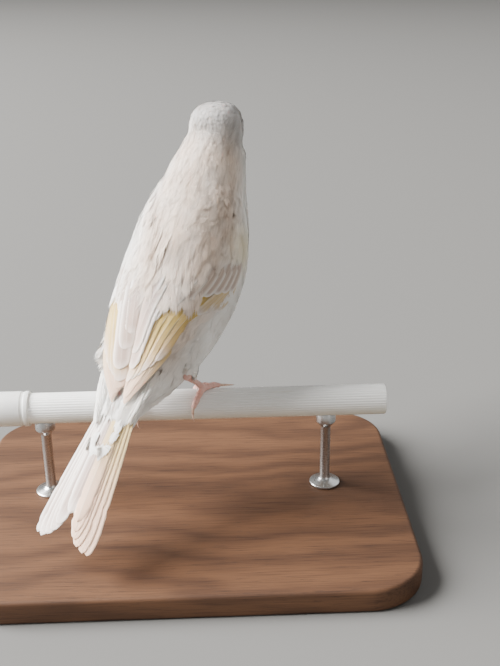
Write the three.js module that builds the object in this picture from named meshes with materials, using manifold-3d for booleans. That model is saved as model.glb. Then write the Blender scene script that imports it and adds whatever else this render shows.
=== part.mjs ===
// A pale canary, life size, perched on a short cut length of ribbed plastic perch over a plain
// display stand. Millimetres, +Z up. The origin is the middle of the stand's base at floor level,
// and the perch runs along X. The bird looks away along +Y and to the right.
import * as THREE from "three";
import { mergeVertices } from "three/addons/utils/BufferGeometryUtils.js";
import Module from "manifold-3d";

const wasm = await Module();
wasm.setup();

// Driving sizes
const GAP = 0.3; // kept between pieces that touch
const PERCH_RADIUS = 4.5;
const PERCH_AT = { x: -4.4, y: 3, z: 35 }; // the perch's axis midway between the feet
const PERCH_ENDS = { left: -54.6, right: 63.4 }; // from midway between the feet
const COLLAR = { radius: 5.15, length: 13.8 };
const RIBS = { count: 30, depth: 0.22 };
const BASE = { length: 128, depth: 100, thickness: 7, corner: 16, chamfer: 1.2 };
const ROD = { radius: 1.5, cup: 2.9, cupHeight: 4, flange: 4.6, flangeHeight: 1.4, at: [-37, 46] };

const BODY_HEADING = 32; // degrees to the right of +Y
const HEAD_HEADING = 12;

const COLOURS = {
  plumage: 0xe9e3dc,
  wing: 0xe6e0c8,
  tail: 0xecdfd2,
  horn: 0xd9b8a4,
  skin: 0xc98f82,
  claw: 0xd8c8b8,
  eye: 0x0c0a09,
  plastic: 0xe6e6e2,
  wood: 0x6b4a33,
  steel: 0xb9bcc0,
};

const rad = THREE.MathUtils.degToRad;
const lerp = THREE.MathUtils.lerp;
const smooth = THREE.MathUtils.smoothstep;
const vec = (x, y, z) => new THREE.Vector3(x, y, z);

// A point by its distance forward of the perch, to the bird's left, and above the perch's axis.
function bird(forward, left, up, heading = BODY_HEADING) {
  const turn = rad(heading);
  return vec(
    forward * Math.sin(turn) - left * Math.cos(turn),
    forward * Math.cos(turn) + left * Math.sin(turn),
    up,
  );
}

// Closed meshes and solids

// A ball's mesh, each of its points moved to pointAt(share along, angle around).
function form(around, along, pointAt) {
  const geometry = new THREE.SphereGeometry(1, around, along);
  const place = geometry.attributes.position;
  const map = geometry.attributes.uv;
  for (let i = 0; i < place.count; i += 1) {
    const row = Math.round((1 - map.getY(i)) * along);
    const column = row === 0 || row === along ? 0 : Math.round(map.getX(i) * around) % around;
    const p = pointAt(row / along, (column / around) * 2 * Math.PI);
    place.setXYZ(i, p.x, p.y, p.z);
  }
  return geometry;
}

// A closed mesh as a solid that can be joined and cut, its faces outwards.
function solid(geometry) {
  geometry.deleteAttribute("normal");
  geometry.deleteAttribute("uv");
  const merged = mergeVertices(geometry, 1e-4);
  const corners = new Uint32Array(merged.index.array);
  const build = () =>
    new wasm.Manifold(
      new wasm.Mesh({
        numProp: 3,
        vertProperties: new Float32Array(merged.attributes.position.array),
        triVerts: corners,
      }),
    );
  const made = build();
  if (made.volume() > 0) return made;
  for (let i = 0; i < corners.length; i += 3) {
    [corners[i + 1], corners[i + 2]] = [corners[i + 2], corners[i + 1]];
  }
  return build();
}

// The largest closed piece of a solid, so that a cut leaves no loose scrap.
function whole(made) {
  return made.decompose().reduce((a, b) => (b.volume() > a.volume() ? b : a));
}

function join(solids) {
  return solids.reduce((all, one) => all.add(one));
}

const parts = new THREE.Group();
parts.position.set(PERCH_AT.x, PERCH_AT.y, PERCH_AT.z);

// Adds a solid to the model as a named mesh.
function node(name, made, color, roughness = 0.85, metalness = 0) {
  const from = whole(made).getMesh();
  const geometry = new THREE.BufferGeometry();
  geometry.setAttribute("position", new THREE.BufferAttribute(from.vertProperties, from.numProp));
  geometry.setIndex(new THREE.BufferAttribute(from.triVerts, 1));
  geometry.computeVertexNormals();
  const material = new THREE.MeshStandardMaterial({ color, roughness, metalness });
  const mesh = new THREE.Mesh(geometry, material);
  mesh.name = name;
  parts.add(mesh);
}

// Half-space solids: a big block whose near face holds the point and looks along the direction.
function blockBeyond(point, direction) {
  const size = 200;
  const block = new THREE.BoxGeometry(size, size, size);
  block.translate(0, 0, size / 2);
  const turn = new THREE.Quaternion().setFromUnitVectors(vec(0, 0, 1), direction.clone().normalize());
  block.applyQuaternion(turn);
  block.translate(point.x, point.y, point.z);
  return solid(block);
}

// Splits a solid at a plane, leaving the gap: [the side the direction points to, the other side].
function parted(made, point, direction) {
  const along = direction.clone().normalize().multiplyScalar(GAP / 2);
  const beyond = blockBeyond(point.clone().add(along), direction);
  const before = blockBeyond(point.clone().sub(along), direction.clone().negate());
  return [made.intersect(beyond), made.intersect(before)];
}

// Torso and neck

// Sections from under the tail to the nape: the middle's place forward, left and up, half the
// width, and the depths from the middle to the back and to the belly. The tail's root is turned
// a little to the left.
const BODY = [
  { forward: -31, left: 0.5, up: 0, half: 2.9, back: 0.8, belly: 1.4 },
  { forward: -23, left: 1.4, up: 6.6, half: 5.2, back: 2.4, belly: 2.8 },
  { forward: -14, up: 14.6, half: 10.4, back: 6.6, belly: 9.4 },
  { forward: -2.3, up: 25.6, half: 15.2, back: 14, belly: 17 },
  { forward: 10, up: 37.6, half: 16.9, back: 16.6, belly: 19 },
  { forward: 16.7, up: 49.8, half: 15.6, back: 15.3, belly: 17.5 },
  { forward: 22.1, up: 60.4, half: 12.3, back: 12.1, belly: 13.8 },
  { forward: 26.8, up: 68.4, half: 9.6, back: 9.6, belly: 12 },
  { forward: 30, up: 75, half: 7.7, back: 8.4, belly: 10.6 },
];
const WING_BED = 2.4; // how far the body is drawn in under the folded wings
const END = 0.07; // the share of the length in which each end is rounded off

const bodyLine = new THREE.CatmullRomCurve3(BODY.map((k) => vec(k.forward, k.left ?? 0, k.up)));
const bodySize = new THREE.CatmullRomCurve3(BODY.map((k) => vec(k.half, k.back, k.belly)));

function capped(share) {
  const rim = Math.min(share, 1 - share, END) / END;
  return Math.sqrt(Math.max(0, 1 - (1 - rim) ** 2));
}

// A point of the body's skin, grown outwards by extra, and drawn in under the wings by bed.
function bodyPoint(share, angle, extra, bed) {
  const at = bodyLine.getPoint(share);
  const along = bodyLine.getTangent(share);
  const [half, back, belly] = bodySize.getPoint(share).toArray();
  const flank = smooth(Math.abs(Math.sin(angle)), 0.1, 0.5) + 1 - smooth(share, 0.36, 0.5);
  const covered = smooth(share, 0.1, 0.2) * (1 - smooth(share, 0.62, 0.78));
  const drawn = extra - bed * Math.min(1, flank) * covered * smooth(Math.cos(angle), -0.4, 0);
  const up = Math.cos(angle) * ((Math.cos(angle) > 0 ? back : belly) + drawn) * capped(share);
  const left = at.y - Math.sin(angle) * (half + drawn) * capped(share);
  const over = (share < 0.5 ? -extra : extra) * (1 - capped(share));
  return bird(
    at.x - along.z * up + along.x * over,
    left,
    at.z + along.x * up + along.z * over,
  );
}

// A round limb along points, its radius running through the given ones, closed at both ends.
function limb(points, radii, around, along) {
  const line = new THREE.CatmullRomCurve3(points);
  const size = new THREE.CatmullRomCurve3(radii.map((r) => vec(r, 0, 0)));
  const frames = line.computeFrenetFrames(along, false);
  return solid(
    form(around, along, (t, a) => {
      const row = Math.round(t * along);
      const rim = Math.min(t, 1 - t, 0.5 / along) * 2 * along;
      const radius = size.getPoint(t).x * rim;
      return line
        .getPointAt(t)
        .addScaledVector(frames.normals[row], Math.cos(a) * radius)
        .addScaledVector(frames.binormals[row], Math.sin(a) * radius);
    }),
  );
}

// Heels and knees; the right shank slopes well back, the left one stands nearly upright.
const LEGS = {
  right: { heel: bird(-8.6, -12.2, 15.4), knee: bird(5, -8.5, 27) },
  left: { heel: bird(-9.5, 10.6, 16.5), knee: bird(4, 8.5, 28) },
};

// A feathered thigh, from the flank down to the heel.
function thigh({ heel, knee }, extra) {
  const at = (k) => heel.clone().lerp(knee, k);
  const radii = [1.7, 3.4, 4.8, 4.6].map((r) => r + extra);
  return limb([at(0.02), at(0.3), at(0.65), at(1)], radii, 12, 7);
}

// The long flank feathers that stand out under the left wing, and those below them, which lie
// beside the wing's tip as far as the tail's root.
function flankTuft(extra) {
  const path = [bird(-1, 10, 27), bird(-9, 11.6, 22.4), bird(-15, 12.8, 19.8), bird(-18.6, 12.8, 17.8)];
  return limb(path, [2, 3.2, 2.3, 0.7].map((r) => r + extra), 8, 6);
}

function trailingFlank(extra) {
  const path = [bird(-10, 9.4, 19.5), bird(-17, 8.5, 14.2), bird(-20.6, 7.2, 11), bird(-24.4, 5.7, 7.6)];
  return limb(path, [2, 2.3, 1.8, 1].map((r) => r + extra), 8, 6);
}

function fleshForm(extra, bed) {
  const trunk = solid(form(28, 28, (t, a) => bodyPoint(t, a, extra, bed)));
  const loose = [thigh(LEGS.right, extra), thigh(LEGS.left, extra), flankTuft(extra), trailingFlank(extra)];
  return join([trunk, ...loose]);
}

const flesh = fleshForm(0, WING_BED);
const fleshClear = fleshForm(GAP, WING_BED);

// Head

// Sections from the nape forward to the bill's root, along the head's own axis.
const HEAD_AT = { forward: 29.6, up: 75.6 };
const HEAD = [
  { along: -8.6, half: 3, crown: 3, throat: 3 },
  { along: -6, half: 6.6, crown: 6.4, throat: 7.4 },
  { along: -1.2, half: 7.9, crown: 7.9, throat: 8.6 },
  { along: 3.6, half: 7.5, crown: 7.4, throat: 8 },
  { along: 7.6, half: 5.3, crown: 5, throat: 5.6 },
  { along: 9.8, half: 3.5, crown: 2.6, throat: 3.4 },
];
const headMiddle = bird(HEAD_AT.forward, 0, HEAD_AT.up);
const headSize = new THREE.CatmullRomCurve3(HEAD.map((k) => vec(k.half, k.crown, k.throat)));
const headLine = new THREE.CatmullRomCurve3(HEAD.map((k) => vec(k.along, 0, 0)));

// A point by its distance forward, to the left and up from the middle of the head.
function head(forward, left, up) {
  return bird(forward, left, up, HEAD_HEADING).add(headMiddle);
}

function headPoint(share, angle) {
  const round = capped(share);
  const [half, crown, throat] = headSize.getPoint(share).toArray();
  const rise = Math.cos(angle) > 0 ? crown : throat;
  const square = 1 + 0.07 * Math.sin(2 * angle) ** 2; // the crown is rather flat
  return head(
    headLine.getPoint(share).x,
    -Math.sin(angle) * half * round * square,
    Math.cos(angle) * rise * round * square,
  );
}

const EYE = { radius: 2.2, forward: 4.5, left: 4.95, up: 1.1 };
const LID = { ring: 1.95, thick: 0.42 };
const BILL = { forward: 8.2, up: -0.9, tip: 16.2, half: 3.1, rise: 3.4, drop: 2.6 };
const NOSTRIL = { radius: 0.45, forward: 10.1, left: 1.5, up: 1.3 };

// Half of the bill, domed upwards or downwards and flat at the mouth, grown outwards by extra.
function mandible(way, rise, tip, extra) {
  return solid(
    form(14, 9, (t, a) => {
      const forward = lerp(BILL.forward - 1.5 - extra, tip + extra, t);
      const taper = Math.sqrt(Math.max(0, 1 - t ** 1.7)) * Math.min(1, t * 9);
      const across = Math.sin(a) * (BILL.half + extra) * taper;
      const domed = Math.max(0, Math.cos(a)) ** 0.8 * (rise + 2 * extra) * taper;
      const up = BILL.up - 1.1 * t * t + way * (GAP / 2 - extra + domed);
      return head(forward, across, up);
    }),
  );
}

const ball = (radius, at, detail = 12) => {
  const made = new THREE.SphereGeometry(radius, detail, Math.round(detail * 0.7));
  made.translate(at.x, at.y, at.z);
  return solid(made);
};

const eyeAt = (left) => head(EYE.forward, left * EYE.left, EYE.up);

// The lids: a low ring round each eye, lying on the side of the head.
function lidRing(left) {
  const ring = new THREE.TorusGeometry(LID.ring, LID.thick, 5, 14);
  const outward = head(EYE.forward + 1.2, left * (EYE.left + 4), EYE.up + 0.3).sub(eyeAt(left)).normalize();
  ring.applyQuaternion(new THREE.Quaternion().setFromUnitVectors(vec(0, 0, 1), outward));
  const at = eyeAt(left).addScaledVector(outward, 1.35);
  ring.translate(at.x, at.y, at.z);
  return solid(ring);
}

const billUpper = (extra) => mandible(1, BILL.rise, BILL.tip, extra);
const billLower = (extra) => mandible(-1, BILL.drop, BILL.tip - 1.1, extra);

const NECK_CUT = bird(27, 0, 68.6); // between head and neck
const TORSO_CUT = bird(22.5, 0, 61); // between neck and torso
const neckUp = bird(0.5, 0, 1);

{
  const skull = solid(form(20, 14, headPoint));
  const all = join([flesh, skull, lidRing(1), lidRing(-1)]);
  const [above, below] = parted(all, NECK_CUT, neckUp);
  const [neck] = parted(below, TORSO_CUT, neckUp);
  const sockets = join([ball(EYE.radius + GAP, eyeAt(1)), ball(EYE.radius + GAP, eyeAt(-1))]);
  node("head", above.subtract(sockets).subtract(join([billUpper(GAP), billLower(GAP)])), COLOURS.plumage);
  node("neck", neck, COLOURS.plumage);
  node("eye_left", ball(EYE.radius, eyeAt(1)), COLOURS.eye, 0.1);
  node("eye_right", ball(EYE.radius, eyeAt(-1)), COLOURS.eye, 0.1);
  const nostrils = join([1, -1].map((side) => {
    return ball(NOSTRIL.radius, head(NOSTRIL.forward, side * NOSTRIL.left, NOSTRIL.up), 8);
  }));
  node("bill_upper", billUpper(0).subtract(nostrils), COLOURS.horn, 0.5);
  node("bill_lower", billLower(0), COLOURS.horn, 0.5);
}

// Legs and feet

const TOE_RADIUS = 0.85;
const GRIP = PERCH_RADIUS + GAP + TOE_RADIUS; // from the perch's axis to a toe's middle
// Each toe by its lengths of pad and claw, and its bearing over the perch: 0 is straight across,
// positive leans to +X, and the hind toe goes the other way round. Sweep leads a claw to +X.
const FEET = [
  {
    side: "right",
    x: 9.7,
    lean: -10, // degrees from the top of the perch to the joint of the toes
    toes: [
      { name: "hind", length: 6.8, claw: 3.4, bearing: 24, sweep: 1.7, back: true },
      { name: "inner", length: 8, claw: 3.4, bearing: -18, sweep: 0 },
      { name: "middle", length: 12, claw: 3.8, bearing: 14, sweep: 0 },
      { name: "outer", length: 6.8, claw: 3.3, bearing: 46, sweep: 2 },
    ],
  },
  {
    side: "left",
    x: -9,
    lean: -24,
    toes: [
      { name: "hind", length: 7.6, claw: 5.2, bearing: 2, sweep: 0.4, back: true },
      { name: "inner", length: 8, claw: 3.4, bearing: 30, sweep: 0 },
      { name: "middle", length: 12, claw: 3.8, bearing: 4, sweep: 0 },
      { name: "outer", length: 8.5, claw: 3.3, bearing: -26, sweep: 0 },
    ],
  },
];

// A point beside the perch: along it, at an angle forward of straight up, and from its axis.
function roundPerch(x, degrees, radius) {
  return vec(x, Math.sin(rad(degrees)) * radius, Math.cos(rad(degrees)) * radius);
}

function toePoint(foot, toe, travelled, radius = GRIP) {
  const way = toe.back ? -1 : 1;
  const turned = THREE.MathUtils.radToDeg((Math.cos(rad(toe.bearing)) * travelled) / GRIP);
  const x = foot.x + way * Math.sin(rad(toe.bearing)) * travelled;
  return roundPerch(x, foot.lean + way * turned, radius);
}

function clawForm(foot, toe, extra) {
  const path = [0, 0.35, 0.7, 1].map((k) => {
    const spot = toePoint(foot, toe, toe.length + GAP + k * toe.claw, GRIP + 0.1 + 1.3 * k * k);
    return spot.add(vec(toe.sweep * k * k, 0, 0));
  });
  return limb(path, [0.62 + extra, 0.52 + extra, 0.34, 0.12], 6, 5);
}

for (const foot of FEET) {
  const joint = roundPerch(foot.x, foot.lean, GRIP + 0.5);
  const { heel } = LEGS[foot.side];
  const pads = foot.toes.map((toe) => {
    node(`claw_${foot.side}_${toe.name}`, clawForm(foot, toe, 0), COLOURS.claw, 0.4);
    const path = [0, 0.25, 0.5, 0.75, 1].map((k) => toePoint(foot, toe, k * toe.length));
    return limb(path, [1.05, 0.95, 0.86, 0.9, 0.6], 7, 7);
  });
  const clear = join(foot.toes.map((toe) => clawForm(foot, toe, GAP)));
  const down = joint.clone().sub(heel);
  const tarsus = limb([heel, heel.clone().lerp(joint, 0.5), joint], [1.4, 0.98, 1.15], 8, 6);
  const ankle = joint.clone().addScaledVector(down.clone().normalize(), -1.9);
  const [low, high] = parted(tarsus, ankle, down);
  node(`foot_${foot.side}`, join([...pads, ball(1.35, joint, 8), low]).subtract(clear), COLOURS.skin, 0.6);
  node(`shank_${foot.side}`, high.subtract(fleshClear), COLOURS.skin, 0.6);
}

// Wings

// The outer face of the folded left wing is drawn through three lines from the bend to the tip:
// along the back, over the middle and along the flank. Points are forward, left and up.
const WING_LINES = {
  back: [
    [15.1, 11.2, 61.9],
    [4.2, 7, 56.2],
    [-4.5, 0, 46.8],
    [-12.2, -0.9, 34.5],
    [-17.4, -1.5, 22.4],
    [-24.2, -1.4, 11.9],
  ],
  middle: [
    [18, 12.7, 60.3],
    [10.1, 14.4, 52],
    [0.4, 13.2, 43],
    [-10.8, 9, 34.3],
    [-19.6, 5.4, 21],
    [-24.6, 1.4, 11.3],
  ],
  flank: [
    [20.5, 13.7, 57.3],
    [17.8, 16.2, 44.9],
    [8.3, 17.1, 34.7],
    [-5.9, 14.6, 28.6],
    [-18.1, 9.4, 19.4],
    [-24.8, 2.2, 11],
  ],
};
const wingLine = (points, mirror) =>
  new THREE.CatmullRomCurve3(points.map(([f, l, u]) => bird(f, l * mirror, u)));

// The outer face at p from bend to tip and q from back to flank, and its outward direction.
function wingFace(mirror) {
  const back = wingLine(WING_LINES.back, mirror);
  const middle = wingLine(WING_LINES.middle, mirror);
  const flank = wingLine(WING_LINES.flank, mirror);
  const point = (p, q) => {
    const [a, b, c] = [back, middle, flank].map((line) => line.getPoint(Math.min(1, Math.max(0, p))));
    const handle = b.clone().multiplyScalar(2).sub(a.clone().add(c).multiplyScalar(0.5));
    return new THREE.QuadraticBezierCurve3(a, handle, c).getPoint(q);
  };
  const out = (p, q) => {
    const step = 0.02;
    const alongWing = point(Math.min(1, p + step), q).sub(point(Math.max(0, p - step), q));
    const acrossWing = point(p, Math.min(1, q + step)).sub(point(p, Math.max(0, q - step)));
    return alongWing.cross(acrossWing).multiplyScalar(-mirror).normalize();
  };
  return { point, out };
}

// A plate between an outer face and an inner one, split into triangles alike on both.
function plate(rows, columns, outerAt, innerAt) {
  const spots = [];
  const corners = [];
  const across = columns + 1;
  for (const face of [outerAt, innerAt]) {
    for (let i = 0; i <= rows; i += 1) {
      for (let j = 0; j <= columns; j += 1) spots.push(...face(i / rows, j / columns).toArray());
    }
  }
  const half = (rows + 1) * across;
  const outer = (i, j) => i * across + j;
  const inner = (i, j) => half + i * across + j;
  for (let i = 0; i < rows; i += 1) {
    for (let j = 0; j < columns; j += 1) {
      const o = [outer(i, j), outer(i + 1, j), outer(i + 1, j + 1), outer(i, j + 1)];
      corners.push(o[0], o[1], o[2], o[0], o[2], o[3]);
      const n = [inner(i, j), inner(i + 1, j), inner(i + 1, j + 1), inner(i, j + 1)];
      corners.push(n[0], n[2], n[1], n[0], n[3], n[2]);
    }
  }
  const rim = [];
  for (let j = 0; j < columns; j += 1) rim.push([0, j]);
  for (let i = 0; i < rows; i += 1) rim.push([i, columns]);
  for (let j = columns; j > 0; j -= 1) rim.push([rows, j]);
  for (let i = rows; i > 0; i -= 1) rim.push([i, 0]);
  rim.forEach(([i, j], k) => {
    const [m, n] = rim[(k + 1) % rim.length];
    corners.push(outer(i, j), outer(m, n), inner(m, n), outer(i, j), inner(m, n), inner(i, j));
  });
  const geometry = new THREE.BufferGeometry();
  geometry.setAttribute("position", new THREE.Float32BufferAttribute(spots, 3));
  geometry.setIndex(corners);
  return solid(geometry);
}

// A feather's vane, a lens in section. Place gives the point at a share of the feather's length,
// a distance across the shaft towards the outer edge, and a height over the surface it lies on.
// The outline is a list of [share of the length, share of the fullest width] from root to tip.
function vane(outline, place, half, section) {
  const spots = [];
  const corners = [];
  outline.forEach(([t, width]) => {
    const spot = (across, height) => spots.push(...place(t, across * half * width, height).toArray());
    spot(-1, section.inner);
    spot(0, section.top);
    spot(1, section.outer);
    spot(0, section.under);
  });
  const sides = 4;
  for (let i = 0; i < outline.length - 1; i += 1) {
    for (let j = 0; j < sides; j += 1) {
      const [a, b] = [i * sides + j, i * sides + ((j + 1) % sides)];
      const [c, d] = [a + sides, b + sides];
      if (j % 2) corners.push(a, b, c, b, d, c);
      else corners.push(a, b, d, a, d, c);
    }
  }
  const last = (outline.length - 1) * sides;
  corners.push(0, 2, 1, 0, 3, 2, last, last + 1, last + 2, last, last + 2, last + 3);
  const geometry = new THREE.BufferGeometry();
  geometry.setAttribute("position", new THREE.Float32BufferAttribute(spots, 3));
  geometry.setIndex(corners);
  return solid(geometry);
}

// Outlines of a rounded covert, of a long feather with a blunt end, and of a tapering primary.
const ROUNDED = [[0, 0.7], [0.4, 1], [0.76, 1], [0.93, 0.74], [1, 0.3]];
const BLUNT = [[0, 0.6], [0.45, 0.95], [0.8, 0.96], [0.94, 0.7], [1, 0.28]];
const TAPERED = [[0, 0.6], [0.5, 1], [0.85, 0.8], [1, 0.24]];

// Heights of a vane's edges, shaft and underside over the surface: the outer edge lies over the
// next feather and the inner edge is sunk under the one before, or both edges are free.
const SHINGLED = { inner: -0.32, top: 0.14, outer: 0.22, under: -0.5 };
const FREE = { inner: -0.08, top: 0.26, outer: -0.08, under: -0.42 };

// Tiers of the folded wing from the lowest up. The first feather lies next to the back and the
// last by the flank: roots and tips give the share along the wing and the share across it.
const WING_TIERS = [
  { // primaries
    outline: TAPERED, count: 6, half: 2.1, height: -0.35,
    roots: [[0.5, 0.6], [0.46, 0.92]], tips: [[0.92, 0.3], [1, 0.66]],
  },
  { // secondaries
    outline: BLUNT, count: 4, half: 2.3, height: -0.15,
    roots: [[0.48, 0.42], [0.46, 0.76]], tips: [[0.88, 0.3], [0.76, 0.68]],
  },
  { // tertials
    outline: BLUNT, count: 3, half: 2.2, height: 0.15,
    roots: [[0.36, 0.12], [0.44, 0.24]], tips: [[0.7, 0.1], [0.84, 0.2]],
  },
  { // primary coverts
    outline: ROUNDED, count: 2, half: 1.8, height: -0.05,
    roots: [[0.32, 0.88], [0.3, 0.96]], tips: [[0.54, 0.84], [0.5, 0.96]],
  },
  { // greater coverts
    outline: ROUNDED, count: 6, half: 2.2, height: 0.1,
    roots: [[0.4, 0.3], [0.22, 0.88]], tips: [[0.63, 0.34], [0.4, 0.9]],
  },
  { // median coverts
    outline: ROUNDED, count: 5, half: 2.4, height: 0.3,
    roots: [[0.24, 0.34], [0.1, 0.84]], tips: [[0.43, 0.34], [0.26, 0.88]],
  },
];
const DIP = 0.6; // how far a vane's root dips under the tier above

function wingVanes(face, mirror) {
  return WING_TIERS.flatMap(({ outline, count, half, height, roots, tips }) => {
    return Array.from({ length: count }, (_, i) => {
      const k = i / (count - 1);
      const between = ([first, last]) => first.map((v, j) => lerp(v, last[j], k));
      const [root, tip] = [between(roots), between(tips)];
      const place = (t, across, above) => {
        const p = lerp(root[0], tip[0], t);
        const wide = face.point(p, 0).distanceTo(face.point(p, 1));
        const q = lerp(root[1], tip[1], t) + across / Math.max(wide, 5);
        const rise = above + height - DIP * (1 - smooth(t, 0, 0.45));
        return face.point(p, q).addScaledVector(face.out(p, q), rise);
      };
      return vane(outline, place, half, SHINGLED);
    });
  });
}

const WING_DEPTH = 4.2;
const SUNK = 0.6; // the core's outer face below the vanes
const CORE_END = 0.84; // the vanes reach beyond the core
const OVERLAP = -0.9; // the left wing reaches this far over the midline
const midline = (mirror) => blockBeyond(bird(0, OVERLAP + mirror * 0.2, 0), bird(0, -mirror, 0));
for (const [name, mirror] of [["wing_left", 1], ["wing_right", -1]]) {
  const face = wingFace(mirror);
  const layer = (depth) => (p, q) => {
    const at = p * CORE_END;
    const inset = lerp(0.02 + 0.1 * p, 0.98 - 0.1 * p, q);
    return face.point(at, inset).addScaledVector(face.out(at, inset), -depth(p, q));
  };
  const inner = (p, q) => {
    const full = lerp(0.6, WING_DEPTH, Math.sqrt(Math.sin(Math.PI * q)));
    return SUNK * smooth(p, 0, 0.25) + full * lerp(1, 0.3, p ** 3);
  };
  const core = plate(10, 6, layer((p) => SUNK * smooth(p, 0, 0.25)), layer(inner));
  const wing = join([core, ...wingVanes(face, mirror)]);
  node(name, wing.subtract(fleshClear).subtract(midline(mirror)), COLOURS.wing);
}

// Tail

// The tail feathers lie in one plane that slopes down and back. Each side's six are given from
// the middle one out: the distance along the tail and to the left at which its tip lies.
const TAIL = { root: [-15, 17.2], slope: 45, half: 2.35, rise: 0.2, start: -4 };
const TAIL_TIPS = {
  right: [[42.8, -1.4], [45.6, -1.9], [47.4, -2.6], [48.6, -3.8], [50.6, -5.6], [51, -6.8]],
  left: [[42, 1.7], [45.6, 4.2], [47.6, 5.2], [48.8, 6.5], [49.4, 8.1], [49, 9.6]],
};
const TAIL_COVERTS = [[23, -0.8], [20, 1.6], [18, -2.8], [15, 3.4]];
{
  const rootAt = bird(TAIL.root[0], 0, TAIL.root[1]);
  const slope = rad(TAIL.slope);
  const along = bird(-Math.cos(slope), 0, -Math.sin(slope));
  const out = bird(-Math.sin(slope), 0, Math.cos(slope));
  const leftward = bird(0, 1, 0);
  const tailPoint = (distance, left, height) => {
    return rootAt
      .clone()
      .addScaledVector(along, distance)
      .addScaledVector(leftward, left)
      .addScaledVector(out, height - 0.012 * left * left);
  };
  const feather = (root, tip, side, outline, half, height, section) => {
    const place = (t, across, above) => {
      const distance = lerp(root[0], tip[0], t);
      return tailPoint(distance, lerp(root[1], tip[1], t) + side * across, above + height);
    };
    return vane(outline, place, half, section);
  };
  const vanes = Object.values(TAIL_TIPS).flatMap((tips) => {
    const side = Math.sign(tips[5][1]);
    return tips.map((tip, i) => {
      const root = [TAIL.start, side * (0.4 + 0.42 * i)];
      const height = (5 - i) * TAIL.rise + (side > 0 ? 0 : 0.2);
      return feather(root, tip, side, BLUNT, TAIL.half, height, i ? SHINGLED : FREE);
    });
  });
  const coverts = TAIL_COVERTS.map(([distance, left], i) => {
    const root = [TAIL.start, left * 0.3];
    return feather(root, [distance, left], Math.sign(left), ROUNDED, 2.4, 1.7 - 0.12 * i, FREE);
  });
  const base = (height) => (p, q) => tailPoint(lerp(-7, 22, p), (0.5 - q) * 6, height);
  const plates = join([plate(6, 4, base(1), base(-0.1)), ...vanes, ...coverts]);
  node("tail", plates.subtract(fleshClear), COLOURS.tail);
}

// The torso takes what is left below the neck.
{
  const [, torso] = parted(flesh, TORSO_CUT, neckUp);
  node("torso", torso, COLOURS.plumage);
}

// Perch, collar and stand

// A rod along X with ribs round it, from x0 to x1.
function ribbedRod(radius, depth, count, x0, x1) {
  const outline = new THREE.Shape();
  for (let i = 0; i < count * 2; i += 1) {
    const turn = (i / (count * 2)) * 2 * Math.PI;
    const r = i % 2 ? radius - depth : radius;
    if (i === 0) outline.moveTo(r, 0);
    else outline.lineTo(Math.cos(turn) * r, Math.sin(turn) * r);
  }
  outline.closePath();
  const rod = new THREE.ExtrudeGeometry(outline, { depth: x1 - x0, bevelEnabled: false });
  rod.rotateX(Math.PI / 2);
  rod.rotateZ(Math.PI / 2);
  rod.translate(x0, 0, 0);
  return solid(rod);
}

{
  const collarEnd = PERCH_ENDS.left + COLLAR.length;
  const perch = ribbedRod(PERCH_RADIUS, RIBS.depth, RIBS.count, PERCH_ENDS.left + 2, PERCH_ENDS.right);
  node("perch", perch, COLOURS.plastic, 0.45);
  const collar = ribbedRod(COLLAR.radius, 0, 18, PERCH_ENDS.left, collarEnd);
  const socket = ribbedRod(PERCH_RADIUS + GAP, 0, 18, PERCH_ENDS.left + 2 - GAP, collarEnd + 1);
  node("perch_collar", collar.subtract(socket), COLOURS.plastic, 0.4);

  const baseTop = BASE.thickness - PERCH_AT.z;
  ROD.at.forEach((x, i) => {
    const foot = baseTop + GAP;
    const profile = [
      [0, foot],
      [ROD.flange, foot],
      [ROD.flange, foot + ROD.flangeHeight * 0.5],
      [ROD.radius, foot + ROD.flangeHeight],
      [ROD.radius, -PERCH_RADIUS - ROD.cupHeight],
      [ROD.cup, -PERCH_RADIUS - ROD.cupHeight + 1.6],
      [ROD.cup, -PERCH_RADIUS + 1.4],
      [0, -PERCH_RADIUS + 1.4],
    ].map(([r, z]) => new THREE.Vector2(r, z));
    const rod = new THREE.LatheGeometry(profile, 16);
    rod.rotateX(Math.PI / 2);
    rod.translate(x, 0, 0);
    const saddle = ribbedRod(PERCH_RADIUS + GAP, 0, 24, x - 8, x + 8);
    node(`stand_rod_${i ? "right" : "left"}`, solid(rod).subtract(saddle), COLOURS.steel, 0.3, 1);
  });

  const outline = new THREE.Shape();
  const [hx, hy, r] = [BASE.length / 2 - BASE.chamfer, BASE.depth / 2 - BASE.chamfer, BASE.corner];
  outline.moveTo(hx, hy - r);
  outline.absarc(hx - r, hy - r, r, 0, Math.PI / 2);
  outline.absarc(-hx + r, hy - r, r, Math.PI / 2, Math.PI);
  outline.absarc(-hx + r, -hy + r, r, Math.PI, 1.5 * Math.PI);
  outline.absarc(hx - r, -hy + r, r, 1.5 * Math.PI, 2 * Math.PI);
  const slab = new THREE.ExtrudeGeometry(outline, {
    depth: BASE.thickness - 2 * BASE.chamfer,
    bevelThickness: BASE.chamfer,
    bevelSize: BASE.chamfer,
    bevelSegments: 1,
    curveSegments: 6,
  });
  slab.translate(-PERCH_AT.x, -PERCH_AT.y, BASE.chamfer - PERCH_AT.z);
  node("stand_base", solid(slab), COLOURS.wood, 0.5);
}

export default parts;
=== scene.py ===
# A pale canary on a short cut length of ribbed perch, on a plain display stand. Metres, +Z up, in
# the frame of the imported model. The bird looks along +Y and to the right.
import math

import bmesh
import bpy
import numpy as np
from mathutils import Matrix, Vector
from mathutils.bvhtree import BVHTree
from mathutils.kdtree import KDTree


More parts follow.
